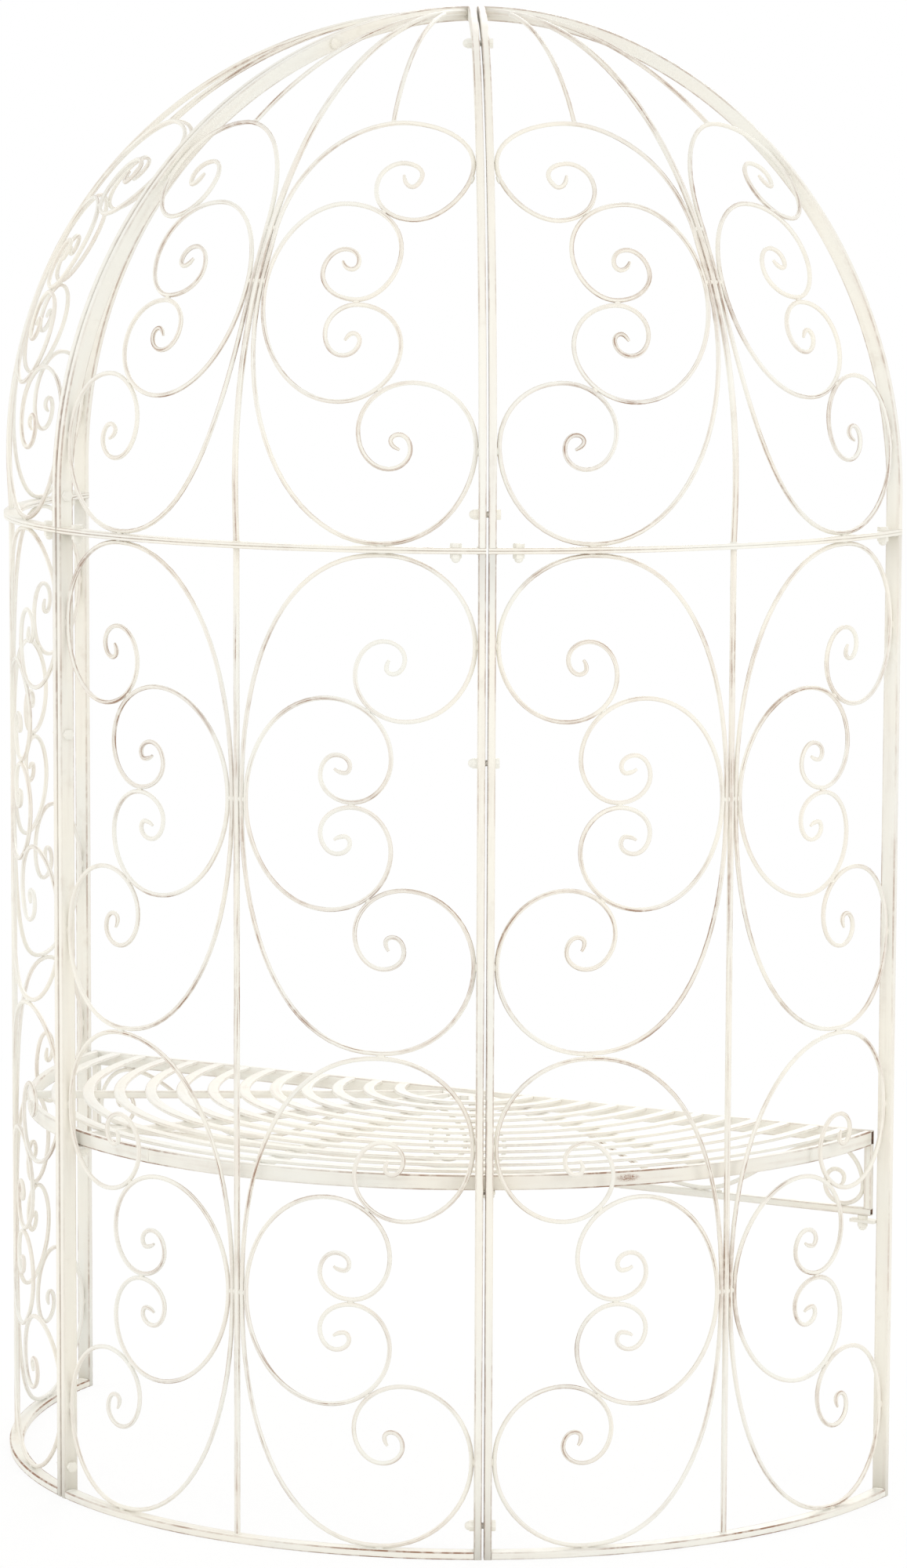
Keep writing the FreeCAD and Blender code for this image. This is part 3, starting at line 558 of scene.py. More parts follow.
# Dome scrollwork: the wall's pattern drawn out along each gore, with a centre rod that rises from the
# ring bar to the crown and two thin rods from the tops of the upper scrolls to the centre rod.
GORE_HIGH = ((108, 0), (0, 92), (53, 161), (114, 101), (90, 72), (61, 95), (68, 110), (91, 50))
GORE_LOW = (
    (119, 0), (0, 119), (88, 205), (152, 146), (110, 95), (83, 119), (99, 139), (109, 131), (68, 115)
)
GORE_SMALL_HIGH = ((88, 138), (0, 57), (44, 3.2), (95, 43), (72, 72), (51, 52), (58, 44), (78, 81))
GORE_SMALL_LOW = ((73, 129), (0, 64), (65, 3.2), (101, 37), (73, 70), (54, 52), (64, 41), (77, 74))
HIGH_EDGE = 234.26
LOW_EDGE = 317.59
SMALL_HIGH_EDGE = 182.20
SMALL_LOW_EDGE = 207.85
BUNDLE_LOW = 335.5
BUNDLE_HIGH = 410.0
GORE_MEET = 311.0
GORE_TOP = 590.0
GORE_LOW_POWER = 2.15
GORE_BULGE = 18.0
GORE_LENGTH = DOME_FOOT + MID_RADIUS * math.pi / 2
CROWN_ROD_FOOT = 103.26
CROWN_ROD_MEET = 945.3
CROWN_ROD_STEPS = 24
CLIMB_LIMIT = math.radians(88)
ROD_END_RADIUS = 30.33


def on_dome(s, t):
    """Point of a gore and its outward direction, t measured up along it from the ring bar."""
    climb = min(max((t - DOME_FOOT) / MID_RADIUS, 0.0), CLIMB_LIMIT)
    angle = s / (MID_RADIUS * math.cos(climb))
    level = Vector((math.sin(angle), math.cos(angle), 0))
    outward = level * math.cos(climb) + UP * math.sin(climb)
    swell = GORE_BULGE * math.sin(math.pi * t / GORE_LENGTH) * math.cos(math.pi / 2 * angle / HALF_PANEL)
    return UP * (DOME_Z + min(t, DOME_FOOT)) + outward * (MID_RADIUS + swell), outward


def height_at(path, place):
    """Height at which the first bend of a scroll passes over a place."""
    for (s0, t0), (s1, t1) in zip(path, path[1:]):
        if s0 <= place <= s1:
            return t0 + (t1 - t0) * (place - s0) / (s1 - s0)


gore_high = scroll((LARGE_START, BUNDLE_HIGH), GORE_HIGH, HIGH_EDGE, GORE_TOP, -1)
gore_low = scroll((LARGE_START, BUNDLE_LOW), GORE_LOW, LOW_EDGE, WIRE / 2 + GAP, 1, GORE_LOW_POWER)
small_high = scroll((SMALL_START, BUNDLE_LOW), GORE_SMALL_HIGH, SMALL_HIGH_EDGE, GORE_MEET, 1)
small_low = scroll((SMALL_START, BUNDLE_LOW), GORE_SMALL_LOW, SMALL_LOW_EDGE, GORE_MEET, -1)
crown_low = height_at(gore_high, CROWN_ROD_FOOT) + WIRE / 2
crown_line = list(zip(spaced(CROWN_ROD_FOOT, LARGE_START, CROWN_ROD_STEPS),
                      spaced(crown_low, CROWN_ROD_MEET, CROWN_ROD_STEPS)))
rod_arc = MID_RADIUS * math.acos(ROD_END_RADIUS / MID_RADIUS)
centre_line = [(0.0, 0.0)] + [(0.0, t) for t in spaced(DOME_FOOT, DOME_FOOT + rod_arc, ROD_STEPS)]
for panel, turn in PANELS.items():
    for name, node, drawn, sides, girth, tip in (
            ("large_scrolls", "large_scrolls", whole(gore_high, gore_low), (1, -1), WIRE, TIP_GIRTH),
            ("small_scrolls", "inner_scrolls", whole(small_high, small_low), (1, -1), WIRE, TIP_GIRTH),
            ("crown_rods", "crown_rods", crown_line, (1, -1), WIRE, 1.0),
            ("centre_rod", "center_rod", centre_line, (1,), ROD, 1.0)):
        wires = [wire_path(drawn, on_dome, turn, m, tip) for m in sides]
        fitted(stock(f"{panel}_dome_{name}", wires, WIRE_PAINT, girth), f"{panel}_dome_{node}")


# Seat frame: a 20 by 10 mm rim on edge bent to a half circle in three lengths, closed by a straight
# open-ended front tube, with square stays like spokes under the slats.
SEAT_HEIGHT = 503.0
RIM_HEIGHT = 20.0
RIM_WIDTH = 10.0
RIM_OUTER = WALL_RADIUS - TUBE_DEPTH - 8.0
RIM_INNER = RIM_OUTER - RIM_WIDTH
RIM_MIDDLE = RIM_OUTER - RIM_WIDTH / 2
RIM_JOINTS = (15.0, 105.0)
RIM_STEP = 2.0
SEAT_FRONT = SEAM_FACE + 2.0
RAIL_BACK = SEAT_FRONT + RIM_WIDTH
RAIL_MIDDLE = SEAT_FRONT + RIM_WIDTH / 2
UNDER_RIM = SEAT_HEIGHT - RIM_HEIGHT
STAY = 10.0
STAY_TOP = SEAT_HEIGHT - FLAT
STAY_TURNS = [math.radians(30 * k - 60) for k in range(5)]
STAY_END = RIM_INNER - 0.3
SQUARE_CORNER = 1.2
HUB_RADIUS = 40.0
SPOT_ANGLE = 42.4
SPOT_DROP = 9.0


def round_seat(degrees):
    """Outward direction at an angle from the left front post round the back."""
    return Vector((-math.cos(math.radians(degrees)), math.sin(math.radians(degrees)), 0))


# Centre of a dark spot on the rim's outer face, with painted shade spread round it.
spot_centre = in_frame(round_seat(SPOT_ANGLE) * RIM_OUTER + UP * (SEAT_HEIGHT - SPOT_DROP))
RIM_PAINT = rubbed_paint("cream_rim_paint", streaks=0.12, edges=1.5, shift=7.7, spot_centre=spot_centre)
SEAT_PAINT = rubbed_paint("cream_seat_paint", streaks=0.2, edges=0.5, shift=7.7)


def level_arc(radius, z, start, end, steps):
    """Level arc round the seat, ended against the front tube."""
    shortest = math.degrees(math.asin(RAIL_BACK / radius))
    start, end = max(start, shortest), min(end, 180 - shortest)
    outwards = [round_seat(angle) for angle in spaced(start, end, steps)]
    return [(outward * radius + UP * z, outward) for outward in outwards]


def cross_tube(name, z, height):
    """Open-ended tube across the front of the seat."""
    path = [(Vector((x, RAIL_MIDDLE, z)), BACK) for x in spaced(-RIM_OUTER, RIM_OUTER, 20)]
    return stock(name, [path], SEAT_PAINT, height, RIM_WIDTH, TUBE_CORNER, True)


rim_cuts = (0.0, *RIM_JOINTS, 180.0)
for name, start, end in zip(("left", "back", "right"), rim_cuts, rim_cuts[1:]):
    steps = max(8, int((end - start) / RIM_STEP))
    path = level_arc(RIM_MIDDLE, SEAT_HEIGHT - RIM_HEIGHT / 2, start, end, steps)
    rim = stock(f"seat_rim_{name}_length", [path], RIM_PAINT, RIM_HEIGHT, RIM_WIDTH, TUBE_CORNER)
    fitted(rim, "seat_rim_" + name)
fitted(cross_tube("seat_front_tube", SEAT_HEIGHT - RIM_HEIGHT / 2, RIM_HEIGHT), "seat_front_rail")
spokes = [[(turned(BACK, angle) * reach + UP * (STAY_TOP - STAY / 2), UP)
           for reach in spaced(HUB_RADIUS, STAY_END, 10)] for angle in STAY_TURNS]
fitted(stock("seat_spokes", spokes, SEAT_PAINT, STAY, STAY, SQUARE_CORNER), "seat_stays")


# Hub of the seat: a half disc that the stays run into behind the front tube, sawn from plate with
# its edges filed.
HUB_STEPS = 32


def plate(form, outline, z0, z1, broken):
    """Add a flat plate to a mesh being drawn, over an outline in plan, with its edges broken."""
    low, high = ([form.verts.new(in_frame(Vector((q.x, q.y, z)))) for q in outline] for z in (z0, z1))
    faces = [form.faces.new(low), form.faces.new(high)]
    faces += [form.faces.new((low[k - 1], low[k], high[k], high[k - 1])) for k in range(len(low))]
    bmesh.ops.recalc_face_normals(form, faces=faces)
    edges = dict.fromkeys(e for f in faces for e in f.edges)
    bmesh.ops.bevel(form, geom=[e for e in edges if e.calc_face_angle(0) > 1], offset=broken * MM,
                    segments=2, affect="EDGES")


def drawn_piece(name, form, paint):
    """Piece from a mesh drawn face by face."""
    mesh = bpy.data.meshes.new(name)
    form.to_mesh(mesh)
    form.free()
    mesh.materials.append(paint)
    mesh.shade_smooth()
    mesh.set_sharp_from_angle(angle=math.radians(40))
    return in_scene(name, mesh)


hub_form = bmesh.new()
hub_start = math.asin(RAIL_BACK / HUB_RADIUS)
hub_turns = spaced(hub_start, math.pi - hub_start, HUB_STEPS)
hub_outline = [Vector((HUB_RADIUS * math.cos(a), HUB_RADIUS * math.sin(a), 0)) for a in hub_turns]
plate(hub_form, hub_outline, STAY_TOP - STAY, STAY_TOP, 0.8)
fitted(drawn_piece("seat_hub_plate", hub_form, SEAT_PAINT), "seat_hub")


# Seat slats: 16 by 4 mm flat bar bent flat into half circles, one inside the other, their ends
# butted on the back of the front tube and each welded down on every stay.
SLAT_WIDTH = 16.0
SLAT_COUNT = 12
SLAT_FIRST = 100.0
SLAT_LAST = RIM_INNER - 31.0
slat_radii = spaced(SLAT_FIRST, SLAT_LAST, SLAT_COUNT - 1)
arcs = [[(p, UP) for p, _ in level_arc(radius, SEAT_HEIGHT - FLAT / 2, 0, 180, 72)] for radius in slat_radii]
fitted(stock("seat_slat_arcs", arcs, SEAT_PAINT, SLAT_WIDTH, FLAT_ROLLED, 1.0), "seat_slats")


# Apron: two scrolled wires between the front tube and a lower square tube, hidden from the back,
# with a short square post at each end.
APRON_LOW = UNDER_RIM - 87.0
APRON_BAR = 10.0
APRON_TOP = UNDER_RIM - WIRE / 2 - GAP
APRON_FLOOR = APRON_LOW + WIRE / 2 + GAP
APRON_SIDE = RIM_OUTER - APRON_BAR - WIRE / 2 - GAP
APRON_SHOULDER = 49.0
APRON_DROP = 55.0
APRON_INNER_TOP = 90.0
APRON_VALLEY = 365.0
APRON_SPOT = 393.0
APRON_CURL = ((30, 0), (56, 25), (41, 46), (28, 36), (34, 25))
APRON_STEPS = (12, 12, 12, 10, 8, 6)
WAVE_STEPS = 20


def on_front(s, t):
    return Vector((s, RAIL_MIDDLE, t)), BACK


def apron_end(side, top, inward):
    """One end of an apron wire, from its level top down the side and into the curl."""
    turns = [(side, APRON_TOP - APRON_DROP)]
    turns += [(side + inward * a, APRON_FLOOR + b) for a, b in APRON_CURL]
    path = [(top, APRON_TOP)]
    for index, (point, steps) in enumerate(zip(turns, APRON_STEPS)):
        path += leg(path[-1], point, index % 2 == 1, steps)
    return path


def swing(start, end):
    """Wave from one level to another, without its start."""
    points = []
    for k in range(1, WAVE_STEPS + 1):
        share = (1 - math.cos(math.pi * k / WAVE_STEPS)) / 2
        points.append((start[0] + (end[0] - start[0]) * k / WAVE_STEPS, start[1] + (end[1] - start[1]) * share))
    return points


outer_end = apron_end(APRON_SIDE, APRON_SIDE - APRON_SHOULDER, -1)
inner_end = apron_end(WIRE / 2 + GAP, APRON_INNER_TOP, 1)
valley = (APRON_VALLEY, APRON_FLOOR)
apron = outer_end[::-1] + swing(outer_end[0], valley) + swing(valley, inner_end[0]) + inner_end[1:]
wires = [wire_path(apron, on_front, 0.0, m) for m in (1, -1)]
fitted(stock("apron_scroll_wires", wires, WIRE_PAINT, WIRE), "apron_scrolls")
fitted(cross_tube("apron_lower_tube", APRON_LOW - APRON_BAR / 2, APRON_BAR), "apron_lower_rail")
posts = [[(Vector((side * (RIM_OUTER - APRON_BAR / 2), RAIL_MIDDLE, z)), BACK)
          for z in spaced(APRON_LOW, UNDER_RIM, 4)] for side in (-1, 1)]
fitted(stock("apron_end_post_pair", posts, SEAT_PAINT, APRON_BAR, APRON_BAR, SQUARE_CORNER),
       "apron_end_posts")


# Tabs: 16 by 4 mm flat bar welded to the edge tubes, the free corners rounded, one under each end of
# the lower tube and one under the rim at each seam, drilled for an 8 mm stud.
TAB_WIDTH = 16.0
TAB_CORNER = 4.0
TAB_BROKEN = 0.5
POST_FACE = WALL_RADIUS - TUBE_DEPTH
FRONT_TAB = 38.0
REAR_TAB = 30.0
BOLT_HEAD = 5.5
front_tab_top = APRON_LOW - APRON_BAR - BOLT_HEAD
rear_tab_bottom = UNDER_RIM - FLAT


def tab_outline(length):
    """Outline with rounded free corners: how far out from the tube, and how far to the side."""
    half = TAB_WIDTH / 2
    turns = [math.radians(15 * k) for k in range(7)]
    corner = [(length - TAB_CORNER + TAB_CORNER * math.sin(a), TAB_CORNER * math.cos(a) - TAB_CORNER + half)
              for a in turns]
    return [(0.0, half)] + corner + [(u, -v) for u, v in reversed(corner)] + [(0.0, -half)]


front_outlines = [[Vector((side * (POST_FACE - u), SEAM_FACE + TAB_WIDTH / 2 + v, 0))
                   for u, v in tab_outline(FRONT_TAB)] for side in (-1, 1)]
rear_outlines = [[turned(Vector((v - BESIDE_SEAM, POST_FACE - u, 0)), seam) for u, v in tab_outline(REAR_TAB)]
                 for seam in SEAMS]
for end, outlines, bottom in (("front", front_outlines, front_tab_top - FLAT),
                              ("rear", rear_outlines, rear_tab_bottom)):
    tabs = bmesh.new()
    for outline in outlines:
        plate(tabs, outline, bottom, bottom + FLAT, TAB_BROKEN)
    fitted(drawn_piece(end + "_tab_plates", tabs, SEAT_PAINT), end + "_seat_tabs")


# Bolts and cap nuts: 8 mm hex bolts with chamfered 13 mm heads and domed cap nuts, painted over with
# the frame. They hold the edge tubes together at the seams, the ring bars face to face and the seat.
HEX_FLATS = 13.0
BOLT = 8.0
BOLT_END = 0.6
CAP_HEX = 6.5
CAP_HEIGHT = 12.0
CAP_RADIUS = 5.8
CAP_LIFT = 6.6
CAP_RISE = 5.4
CAP_TIP = 0.3
CHAMFER_SHARE = 0.96
CHAMFER_SLOPE = 0.58
SEAM_BOLT_HEIGHTS = (43.5, WALL_HEIGHT - 268.0)
GORE_BOLT_HEIGHTS = (DOME_FOOT, 811.0)
RING_BOLT_INSET = 40.0
FRONT_STUD_INSET = 21.0
BOLT_PAINT = rubbed_paint("cream_bolt_paint", streaks=0.0, edges=1.2, shift=2.3)
HEAD_WEAR = 0.9
FACETS = 24
facet_turns = spaced(0, 2 * math.pi, FACETS)[:-1]


def hex_reach(angle):
    """Distance from the axis to the hexagon's side in a direction."""
    return HEX_FLATS / 2 / math.cos((angle + math.pi / 6) % (math.pi / 3) - math.pi / 6)


def hex_rings(base, top):
    """Rings of a hexagon whose outer end is turned to a cone, from its base to its top."""
    flat = HEX_FLATS / 2 * CHAMFER_SHARE
    lean = math.copysign(CHAMFER_SLOPE, top - base)
    return [[(hex_reach(a), base) for a in facet_turns],
            [(hex_reach(a), top - (hex_reach(a) - flat) * lean) for a in facet_turns],
            [(flat, top)] * FACETS]


def turned_form(name, rings):
    """Closed form through rings of (distance from the axis, height)."""
    form = bmesh.new()
    rows = [[form.verts.new((r * math.cos(a) * MM, r * math.sin(a) * MM, z * MM))
             for a, (r, z) in zip(facet_turns, ring)] for ring in rings]
    for row, following in zip(rows, rows[1:]):
        for k in range(FACETS):
            form.faces.new((row[k - 1], row[k], following[k], following[k - 1]))
    form.faces.new(rows[0])
    form.faces.new(rows[-1])
    bmesh.ops.recalc_face_normals(form, faces=form.faces)
    piece = drawn_piece(name, form, BOLT_PAINT)
    weight = piece.data.attributes.new("edge", "FLOAT", "POINT")
    for vertex in piece.data.vertices:
        reach = Vector(vertex.co[:2]).length / MM
        weight.data[vertex.index].value = max(0.0, reach - HEX_FLATS / 2) * HEAD_WEAR
    return piece


def bolt_form(name, grip):
    shank = ((BOLT / 2, 0.0), (BOLT / 2, grip - BOLT_END), (BOLT / 2 - BOLT_END, grip))
    return turned_form(name, hex_rings(0.0, -BOLT_HEAD)[::-1] + [[place] * FACETS for place in shank])


def set_on_points(given, form):
    """The form on each point, along and upright as the point says, made real and numbered."""
    tree = form.id_data
    rotation = add(tree, "FunctionNodeAlignRotationToVector", {"Vector": read(tree, "along")},
                   axis="Z", pivot_axis="AUTO")
    rotation = add(tree, "FunctionNodeAlignRotationToVector",
                   {"Vector": read(tree, "upright"), "Rotation": rotation}, axis="X", pivot_axis="Z")
    points = add(tree, "GeometryNodeMeshToPoints", {"Mesh": given["Geometry"]})
    placed = add(tree, "GeometryNodeInstanceOnPoints", {
        "Points": points, "Instance": form, "Rotation": rotation, "Scale": read(tree, "girths")})
    numbered = store(placed, "wire", add(tree, "GeometryNodeInputIndex"), "INSTANCE")
    return add(tree, "GeometryNodeRealizeInstances", {"Geometry": numbered})


def set_out():
    """Node tree that sets a form on each point."""
    tree, given = new_group("set_out", form="Object", paint="Material")
    form = add(tree, "GeometryNodeObjectInfo", {"Object": given["Form"]}, output="Geometry")
    return finish_group(set_on_points(given, form), given["Paint"])


def point_piece(name, places):
    """Bare points to set forms on: each is (place, along, upright, size)."""
    along, upright, girths = ([number for q in places for number in q[k]] for k in (1, 2, 3))
    return carrying(name, [in_frame(q[0]) for q in places], along=along, upright=upright, girths=girths)


def bolts(name, form, places, node):
    piece = point_piece(name, [(*q, (1.0, 1.0, 1.0)) for q in places])
    baked(piece, {"Form": form, "Paint": BOLT_PAINT}, SET_OUT)
    piece.data.set_sharp_from_angle(angle=math.radians(40))
    fitted(piece, node)


def on_rib(t):
    climb = max(t - DOME_FOOT, 0.0) / MID_RADIUS
    return Vector((0, MID_RADIUS * math.cos(climb), DOME_Z + min(t, DOME_FOOT) + MID_RADIUS * math.sin(climb)))


SET_OUT = set_out()
dome_turns = [math.radians(angle) for angle in (0, 18, 36, 54, 70, 82)]
dome = [(CAP_RADIUS * math.cos(a), CAP_LIFT + CAP_RISE * math.sin(a)) for a in dome_turns]
dome.append((CAP_TIP, CAP_HEIGHT))
cap_form = turned_form("cap_nut_form", hex_rings(0.0, CAP_HEX) + [[place] * FACETS for place in dome])
seam_places = [Vector((0, MID_RADIUS, z)) for z in SEAM_BOLT_HEIGHTS] + [on_rib(t) for t in GORE_BOLT_HEIGHTS]
seam_heads, seam_nuts = ([(turned(place + ACROSS * (side * TUBE_FACE), seam), turned(ACROSS, seam), UP)
                          for seam in SEAMS for place in seam_places] for side in (-1, 1))
ring_heads, ring_nuts = [], []
for turn in PANELS.values():
    for side in (-1, 1):
        outward = turned(BACK, turn + side * (HALF_PANEL - RING_BOLT_INSET / MID_RADIUS))
        ring_heads.append((outward * MID_RADIUS + UP * DOME_Z, -UP, outward))
        ring_nuts.append((outward * MID_RADIUS + UP * WALL_HEIGHT, -UP, outward))
seat_heads, seat_nuts = [], []
for side in (-1, 1):
    place = Vector((side * (POST_FACE - FRONT_STUD_INSET), RAIL_MIDDLE, front_tab_top))
    seat_heads.append((place, -UP, BACK))
    seat_nuts.append((place - UP * FLAT, -UP, BACK))
for seam in SEAMS:
    outward = turned(BACK, seam)
    place = outward * RIM_MIDDLE - turned(ACROSS, seam) * BESIDE_SEAM + UP * rear_tab_bottom
    seat_nuts.append((place, -UP, outward))
for part, grip, heads, nuts in (("seam", 2 * TUBE_FACE, seam_heads, seam_nuts),
                                ("ring", 2 * FLAT, ring_heads, ring_nuts),
                                ("seat", FLAT + 1.0, seat_heads, seat_nuts)):
    form = bolt_form(part + "_bolt_form", grip)
    bolts(part + "_bolt_set", form, heads, part + "_bolts")
    bolts(part + "_cap_set", cap_form, nuts, part + "_cap_nuts")
    bpy.data.objects.remove(form)
bpy.data.objects.remove(cap_form)


# Weld beads: the wires are tacked to each other, to the bars and to the rods with short lumpy beads
# of steel, brushed and painted over, so that brown shows round many of them.
WELD_PAINT = rubbed_paint("cream_weld_paint", streaks=0.0, edges=1.6, shift=5.9)
LUMP_DEPTH = 1.1
LUMP_SCALE = 330.0
UPRIGHT = (0.0, 1.0)
LEVEL = (1.0, 0.0)
# Half the length, width and depth of each kind of bead
TIE = (3.6, 1.9, 3.0)
WIRE_WELD = (4.6, 2.1, 2.8)
BAR_WELD = (6.5, 1.9, 3.1)
CROWN_WELD = (4.0, 3.0, 3.2)
ROD_WELD = (5.4, 5.4, 2.2)
TUBE_WELD = (8.6, 1.9, 1.7)
RIB_WELD = (9.0, 1.9, 1.7)
STAY_WELD = (5.5, 1.5, 1.3)
STAY_END_WELD = (5.6, 5.6, 1.2)
SLAT_WELD = (7.4, 1.7, 1.9)
SPOT_WELD = (4.5, 2.0, 3.2)
RIM_WELD = (9.4, 1.6, 0.8)
RIM_TOP_WELD = (5.2, 1.6, 0.7)
ROD_TIE = ROD / 2
WIRE_TIE = LARGE_START + WIRE / 2


def weld_beads():
    """Node tree that sets a lumpy bead on each point, with the point's size."""
    tree, given = new_group("weld_beads", lumps="Float", seed="Float", paint="Material")
    ball = add(tree, "GeometryNodeMeshUVSphere", {"Segments": 8, "Rings": 6, "Radius": MM})
    real = set_on_points(given, ball)
    grain = add(tree, "ShaderNodeTexNoise", {"Scale": LUMP_SCALE, "W": given["Seed"]}, noise_dimensions="4D")
    swell = times(maths("SUBTRACT", grain, 0.5), given["Lumps"])
    push = add(tree, "ShaderNodeVectorMath",
               {"Vector": add(tree, "GeometryNodeInputNormal"), "Scale": swell}, operation="SCALE")
    moved = add(tree, "GeometryNodeSetPosition", {"Geometry": real, "Offset": push})
    return finish_group(store(moved, "edge", 0.8), given["Paint"])


def bead(surface, turn, mirror, place, run, size):
    """Bead at a drawn place, run along a drawn direction."""
    here, facing = surface(mirror * place[0], place[1])
    ahead = surface(mirror * (place[0] + run[0]), place[1] + run[1])[0]
    return turned(here, turn), turned(facing, turn), turned((ahead - here).normalized(), turn), size


def meeting(first, second, surface):
    """Drawn place midway between two paths where they come closest, and how the first runs there."""
    near = [surface(*q)[0] for q in first]
    far = [surface(*q)[0] for q in second]
    _, i, j = min(((a - b).length, i, j) for i, a in enumerate(near) for j, b in enumerate(far))
    i = min(max(i, 1), len(first) - 2)
    run = Vector(first[i + 1]) - Vector(first[i - 1])
    return (Vector(first[i]) + Vector(second[j])) / 2, run.normalized()


def beads(name, places):
    piece = point_piece(name, places)
    baked(piece, {"Lumps": LUMP_DEPTH * MM, "Seed": float(len(places)), "Paint": WELD_PAINT}, WELD_BEADS)
    piece.data.shade_smooth()
    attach(piece, "root")


WELD_BEADS = weld_beads()
OFF_ROD, NEAR_CURL = 20, 62
wall_meeting, wall_run = meeting(large_half[OFF_ROD:NEAR_CURL], small_half[:NEAR_CURL], on_wall)
high_meeting, high_run = meeting(gore_high[OFF_ROD:NEAR_CURL], small_high[:NEAR_CURL], on_dome)
low_meeting, low_run = meeting(gore_low[OFF_ROD:NEAR_CURL], small_low[:NEAR_CURL], on_dome)
small_touch = WALL_SMALL_EDGE - WALL_SMALL[2][0]
large_top = WALL_LARGE_EDGE - WALL_LARGE[0][0]
tiers = []
for middle in TIERS:
    rows = [((ROD_TIE, middle), UPRIGHT, TIE), ((WIRE_TIE, middle), UPRIGHT, TIE),
            ((small_touch, middle), LEVEL, WIRE_WELD)]
    for way in (1, -1):
        outer = middle + way * (TIER_HALF - WIRE / 2 - WALL_LARGE[1][1])
        touch = (wall_meeting[0], middle + way * wall_meeting[1])
        rows += [((large_top, middle + way * (TIER_HALF - 0.6)), LEVEL, BAR_WELD),
                 ((WALL_LARGE_EDGE + WIRE / 2, outer), UPRIGHT, BAR_WELD),
                 (touch, (wall_run[0], way * wall_run[1]), WIRE_WELD)]
    tiers.append(rows)
gore = [((ROD_TIE, BUNDLE_LOW), UPRIGHT, TIE), ((ROD_TIE, BUNDLE_HIGH), UPRIGHT, TIE),
        ((WIRE_TIE, BUNDLE_LOW), UPRIGHT, TIE),
        ((SMALL_HIGH_EDGE - GORE_SMALL_HIGH[2][0] + 1.5, GORE_MEET), LEVEL, WIRE_WELD),
        (high_meeting, high_run, WIRE_WELD), (low_meeting, low_run, WIRE_WELD),
        ((LOW_EDGE - GORE_LOW[0][0], 0.6), LEVEL, BAR_WELD),
        ((HIGH_EDGE + WIRE / 2, GORE_TOP - GORE_HIGH[1][1]), UPRIGHT, BAR_WELD),
        ((LOW_EDGE + WIRE / 2, WIRE / 2 + GORE_LOW[1][1]), UPRIGHT, BAR_WELD),
        ((CROWN_ROD_FOOT, crown_low), LEVEL, CROWN_WELD), ((ROD_TIE, CROWN_ROD_MEET), UPRIGHT, TIE)]
for panel, turn in PANELS.items():
    back = turned(BACK, turn)
    feet = [(outward * MID_RADIUS + beside, outward) for outward, beside in edge_lines(turn, TUBE_FACE + 0.4)]
    ends = (RAIL_HEIGHT, WALL_HEIGHT)
    marks = [bead(on_wall, turn, m, *row) for rows in tiers for m in (1, -1) for row in rows]
    marks += [(back * MID_RADIUS + UP * z, UP, back, ROD_WELD) for z in ends]
    marks += [(foot + UP * z, UP, outward, TUBE_WELD) for foot, outward in feet for z in ends]
    beads(panel + "_wall_welds", marks)
    marks = [bead(on_dome, turn, m, *row) for m in (1, -1) for row in gore]
    marks.append((back * MID_RADIUS + UP * DOME_Z, UP, back, ROD_WELD))
    marks += [(foot + UP * DOME_Z, UP, outward, RIB_WELD) for foot, outward in feet]
    beads(panel + "_dome_welds", marks)

marks = []
for angle in STAY_TURNS:
    outward = turned(BACK, angle)
    beside = UP.cross(outward) * (STAY / 2)
    marks += [(outward * radius + beside * side + UP * STAY_TOP, UP, outward, STAY_WELD)
              for radius in slat_radii for side in (-1, 1)]
    marks.append((outward * RIM_INNER + UP * (STAY_TOP - STAY / 2), outward, UP, STAY_END_WELD))
for radius in slat_radii:
    x = math.sqrt(radius ** 2 - RAIL_BACK ** 2)
    marks += [(Vector((side * x, RAIL_BACK, SEAT_HEIGHT - 1.6)), UP, ACROSS, SLAT_WELD) for side in (-1, 1)]
for side in (-1, 1):
    rows = [((outer_end[0][0], APRON_TOP + 2.6), LEVEL, BAR_WELD),
            ((APRON_INNER_TOP, APRON_TOP + 2.6), LEVEL, BAR_WELD),
            ((APRON_VALLEY, APRON_LOW + 0.6), LEVEL, BAR_WELD),
            ((APRON_SPOT, APRON_LOW + 1.0), LEVEL, SPOT_WELD),
            ((APRON_SIDE + 3.0, APRON_TOP - APRON_DROP), UPRIGHT, BAR_WELD),
            ((2.9 * side, APRON_TOP - APRON_DROP), UPRIGHT, TIE)]
    marks += [bead(on_front, 0.0, side, *row) for row in rows]
for outward in [round_seat(angle) for angle in RIM_JOINTS]:
    marks += [(outward * reach + UP * (SEAT_HEIGHT - RIM_HEIGHT / 2), outward, UP, RIM_WELD)
              for reach in (RIM_OUTER, RIM_INNER)]
    marks.append((outward * RIM_MIDDLE + UP * (SEAT_HEIGHT - 0.2), UP, outward, RIM_TOP_WELD))
beads("seat_welds", marks)


# Camera and studio: the camera stands where the photograph was taken from, and the part stands on a
# pale floor in a white room, between four square soft lamps.
CAMERA_DISTANCE = 7438.7
CAMERA_TURN = 61.6049
CAMERA_HEIGHT = 1876.1
CAMERA_YAW = math.radians(0.201)
CAMERA_PITCH = math.radians(-7.2177)
CAMERA_ROLL = math.radians(0.233)
FOCAL_PIXELS = 6844.4
IMAGE_HEIGHT = 2000.0
SENSOR = 36.0

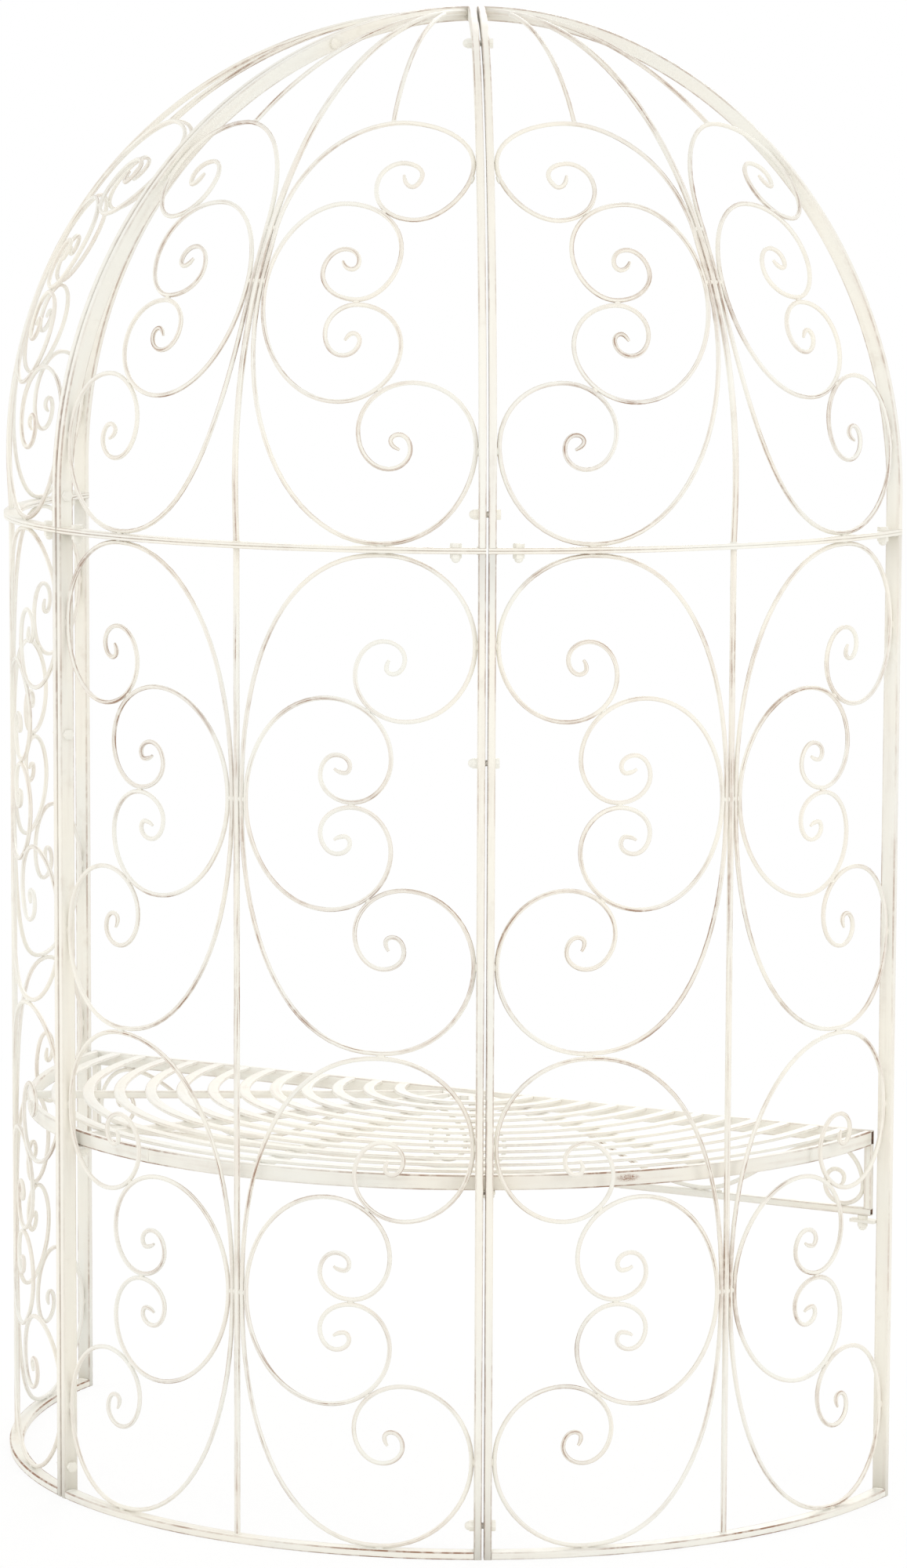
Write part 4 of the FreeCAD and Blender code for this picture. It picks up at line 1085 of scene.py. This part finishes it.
camera_place = round_seat(CAMERA_TURN) * CAMERA_DISTANCE + UP * CAMERA_HEIGHT
ahead = turned(Vector((-camera_place.x, -camera_place.y, 0)).normalized(), CAMERA_YAW)
ahead = ahead * math.cos(CAMERA_PITCH) + UP * math.sin(CAMERA_PITCH)
right = ahead.cross(UP).normalized()
rolled_right = right * math.cos(CAMERA_ROLL) + right.cross(ahead) * math.sin(CAMERA_ROLL)
camera_data = bpy.data.cameras.new("photo_camera")
camera_data.sensor_fit = "VERTICAL"
camera_data.sensor_height = SENSOR
camera_data.lens = FOCAL_PIXELS / IMAGE_HEIGHT * SENSOR
camera_data.clip_end = 200.0
camera = in_scene("photo_camera", camera_data)
axes = Matrix((rolled_right, rolled_right.cross(ahead), -ahead)).transposed()
camera.matrix_world = Matrix.Translation(in_frame(camera_place)) @ axes.to_4x4()
bpy.context.scene.camera = camera


def looked_at(tree):
    """One for rays from the camera, straight, mirrored or through glass, and nothing for others."""
    rays = tree.nodes.new("ShaderNodeLightPath").outputs
    return maths("MAXIMUM", rays["Is Camera Ray"], rays["Is Glossy Ray"], rays["Is Transmission Ray"])


world = bpy.data.worlds.new("studio")
bpy.context.scene.world = world
world.use_nodes = True
sky = world.node_tree
sky.nodes.clear()
soft = add(sky, "ShaderNodeBackground", {"Color": (1.0, 0.99, 0.975, 1), "Strength": 0.86})
white = add(sky, "ShaderNodeBackground", {"Color": (1, 1, 1, 1), "Strength": 1.0})
mixed = add(sky, "ShaderNodeMixShader", {0: looked_at(sky), 1: soft, 2: white})
add(sky, "ShaderNodeOutputWorld", {"Surface": mixed})

FLOOR_REACH = 40.0
FLOOR_NEAR = 1.2
FLOOR_FAR = 3.4
FLOOR_LIFT = 0.86
floor_mesh = bpy.data.meshes.new("studio_floor")
corners = [(x * FLOOR_REACH, y * FLOOR_REACH, 0) for x, y in ((-1, -1), (1, -1), (1, 1), (-1, 1))]
floor_mesh.from_pydata(corners, [], [(0, 1, 2, 3)])
floor_paint, tree, shader = new_paint("studio_floor_white")
shader["Base Color"].default_value = (0.92, 0.92, 0.91, 1)
shader["Roughness"].default_value = 0.9
shader["Specular IOR Level"].default_value = 0.0
from_middle = add(tree, "ShaderNodeVectorMath", {0: add(tree, "ShaderNodeTexCoord", output="Object")},
                  operation="LENGTH")
fading = between(from_middle, FLOOR_NEAR, FLOOR_FAR, FLOOR_LIFT, 1.0)
bright = add(tree, "ShaderNodeEmission")
plain = tree.nodes["Principled BSDF"].outputs["BSDF"]
blend = add(tree, "ShaderNodeMixShader", {0: times(looked_at(tree), fading), 1: plain, 2: bright})
tree.links.new(blend, tree.nodes["Material Output"].inputs["Surface"])
floor_mesh.materials.append(floor_paint)
in_scene("studio_floor", floor_mesh)

LAMPS = (
    ("key_lamp", (-1.6, 6.5, 4.6), 3.6, 66.0, (1.0, 0.985, 0.96)),
    ("side_lamp", (6.2, 3.2, 2.8), 3.4, 85.0, (1.0, 0.99, 0.97)),
    ("fill_lamp", (-6.5, 1.5, 3.2), 3.2, 85.0, (1.0, 0.985, 0.96)),
    ("front_lamp", (1.5, -5.5, 3.8), 3.2, 112.0, (1.0, 0.985, 0.96)),
)
AIM = Vector((0, 0, 1.0))
for name, place, size, power, colour in LAMPS:
    data = bpy.data.lights.new(name, "AREA")
    data.shape = "SQUARE"
    data.size = size
    data.energy = power
    data.color = colour
    lamp = in_scene(name, data)
    lamp.location = place
    lamp.rotation_euler = (AIM - lamp.location).to_track_quat("-Z", "Y").to_euler()

bpy.context.scene.view_settings.view_transform = "Standard"
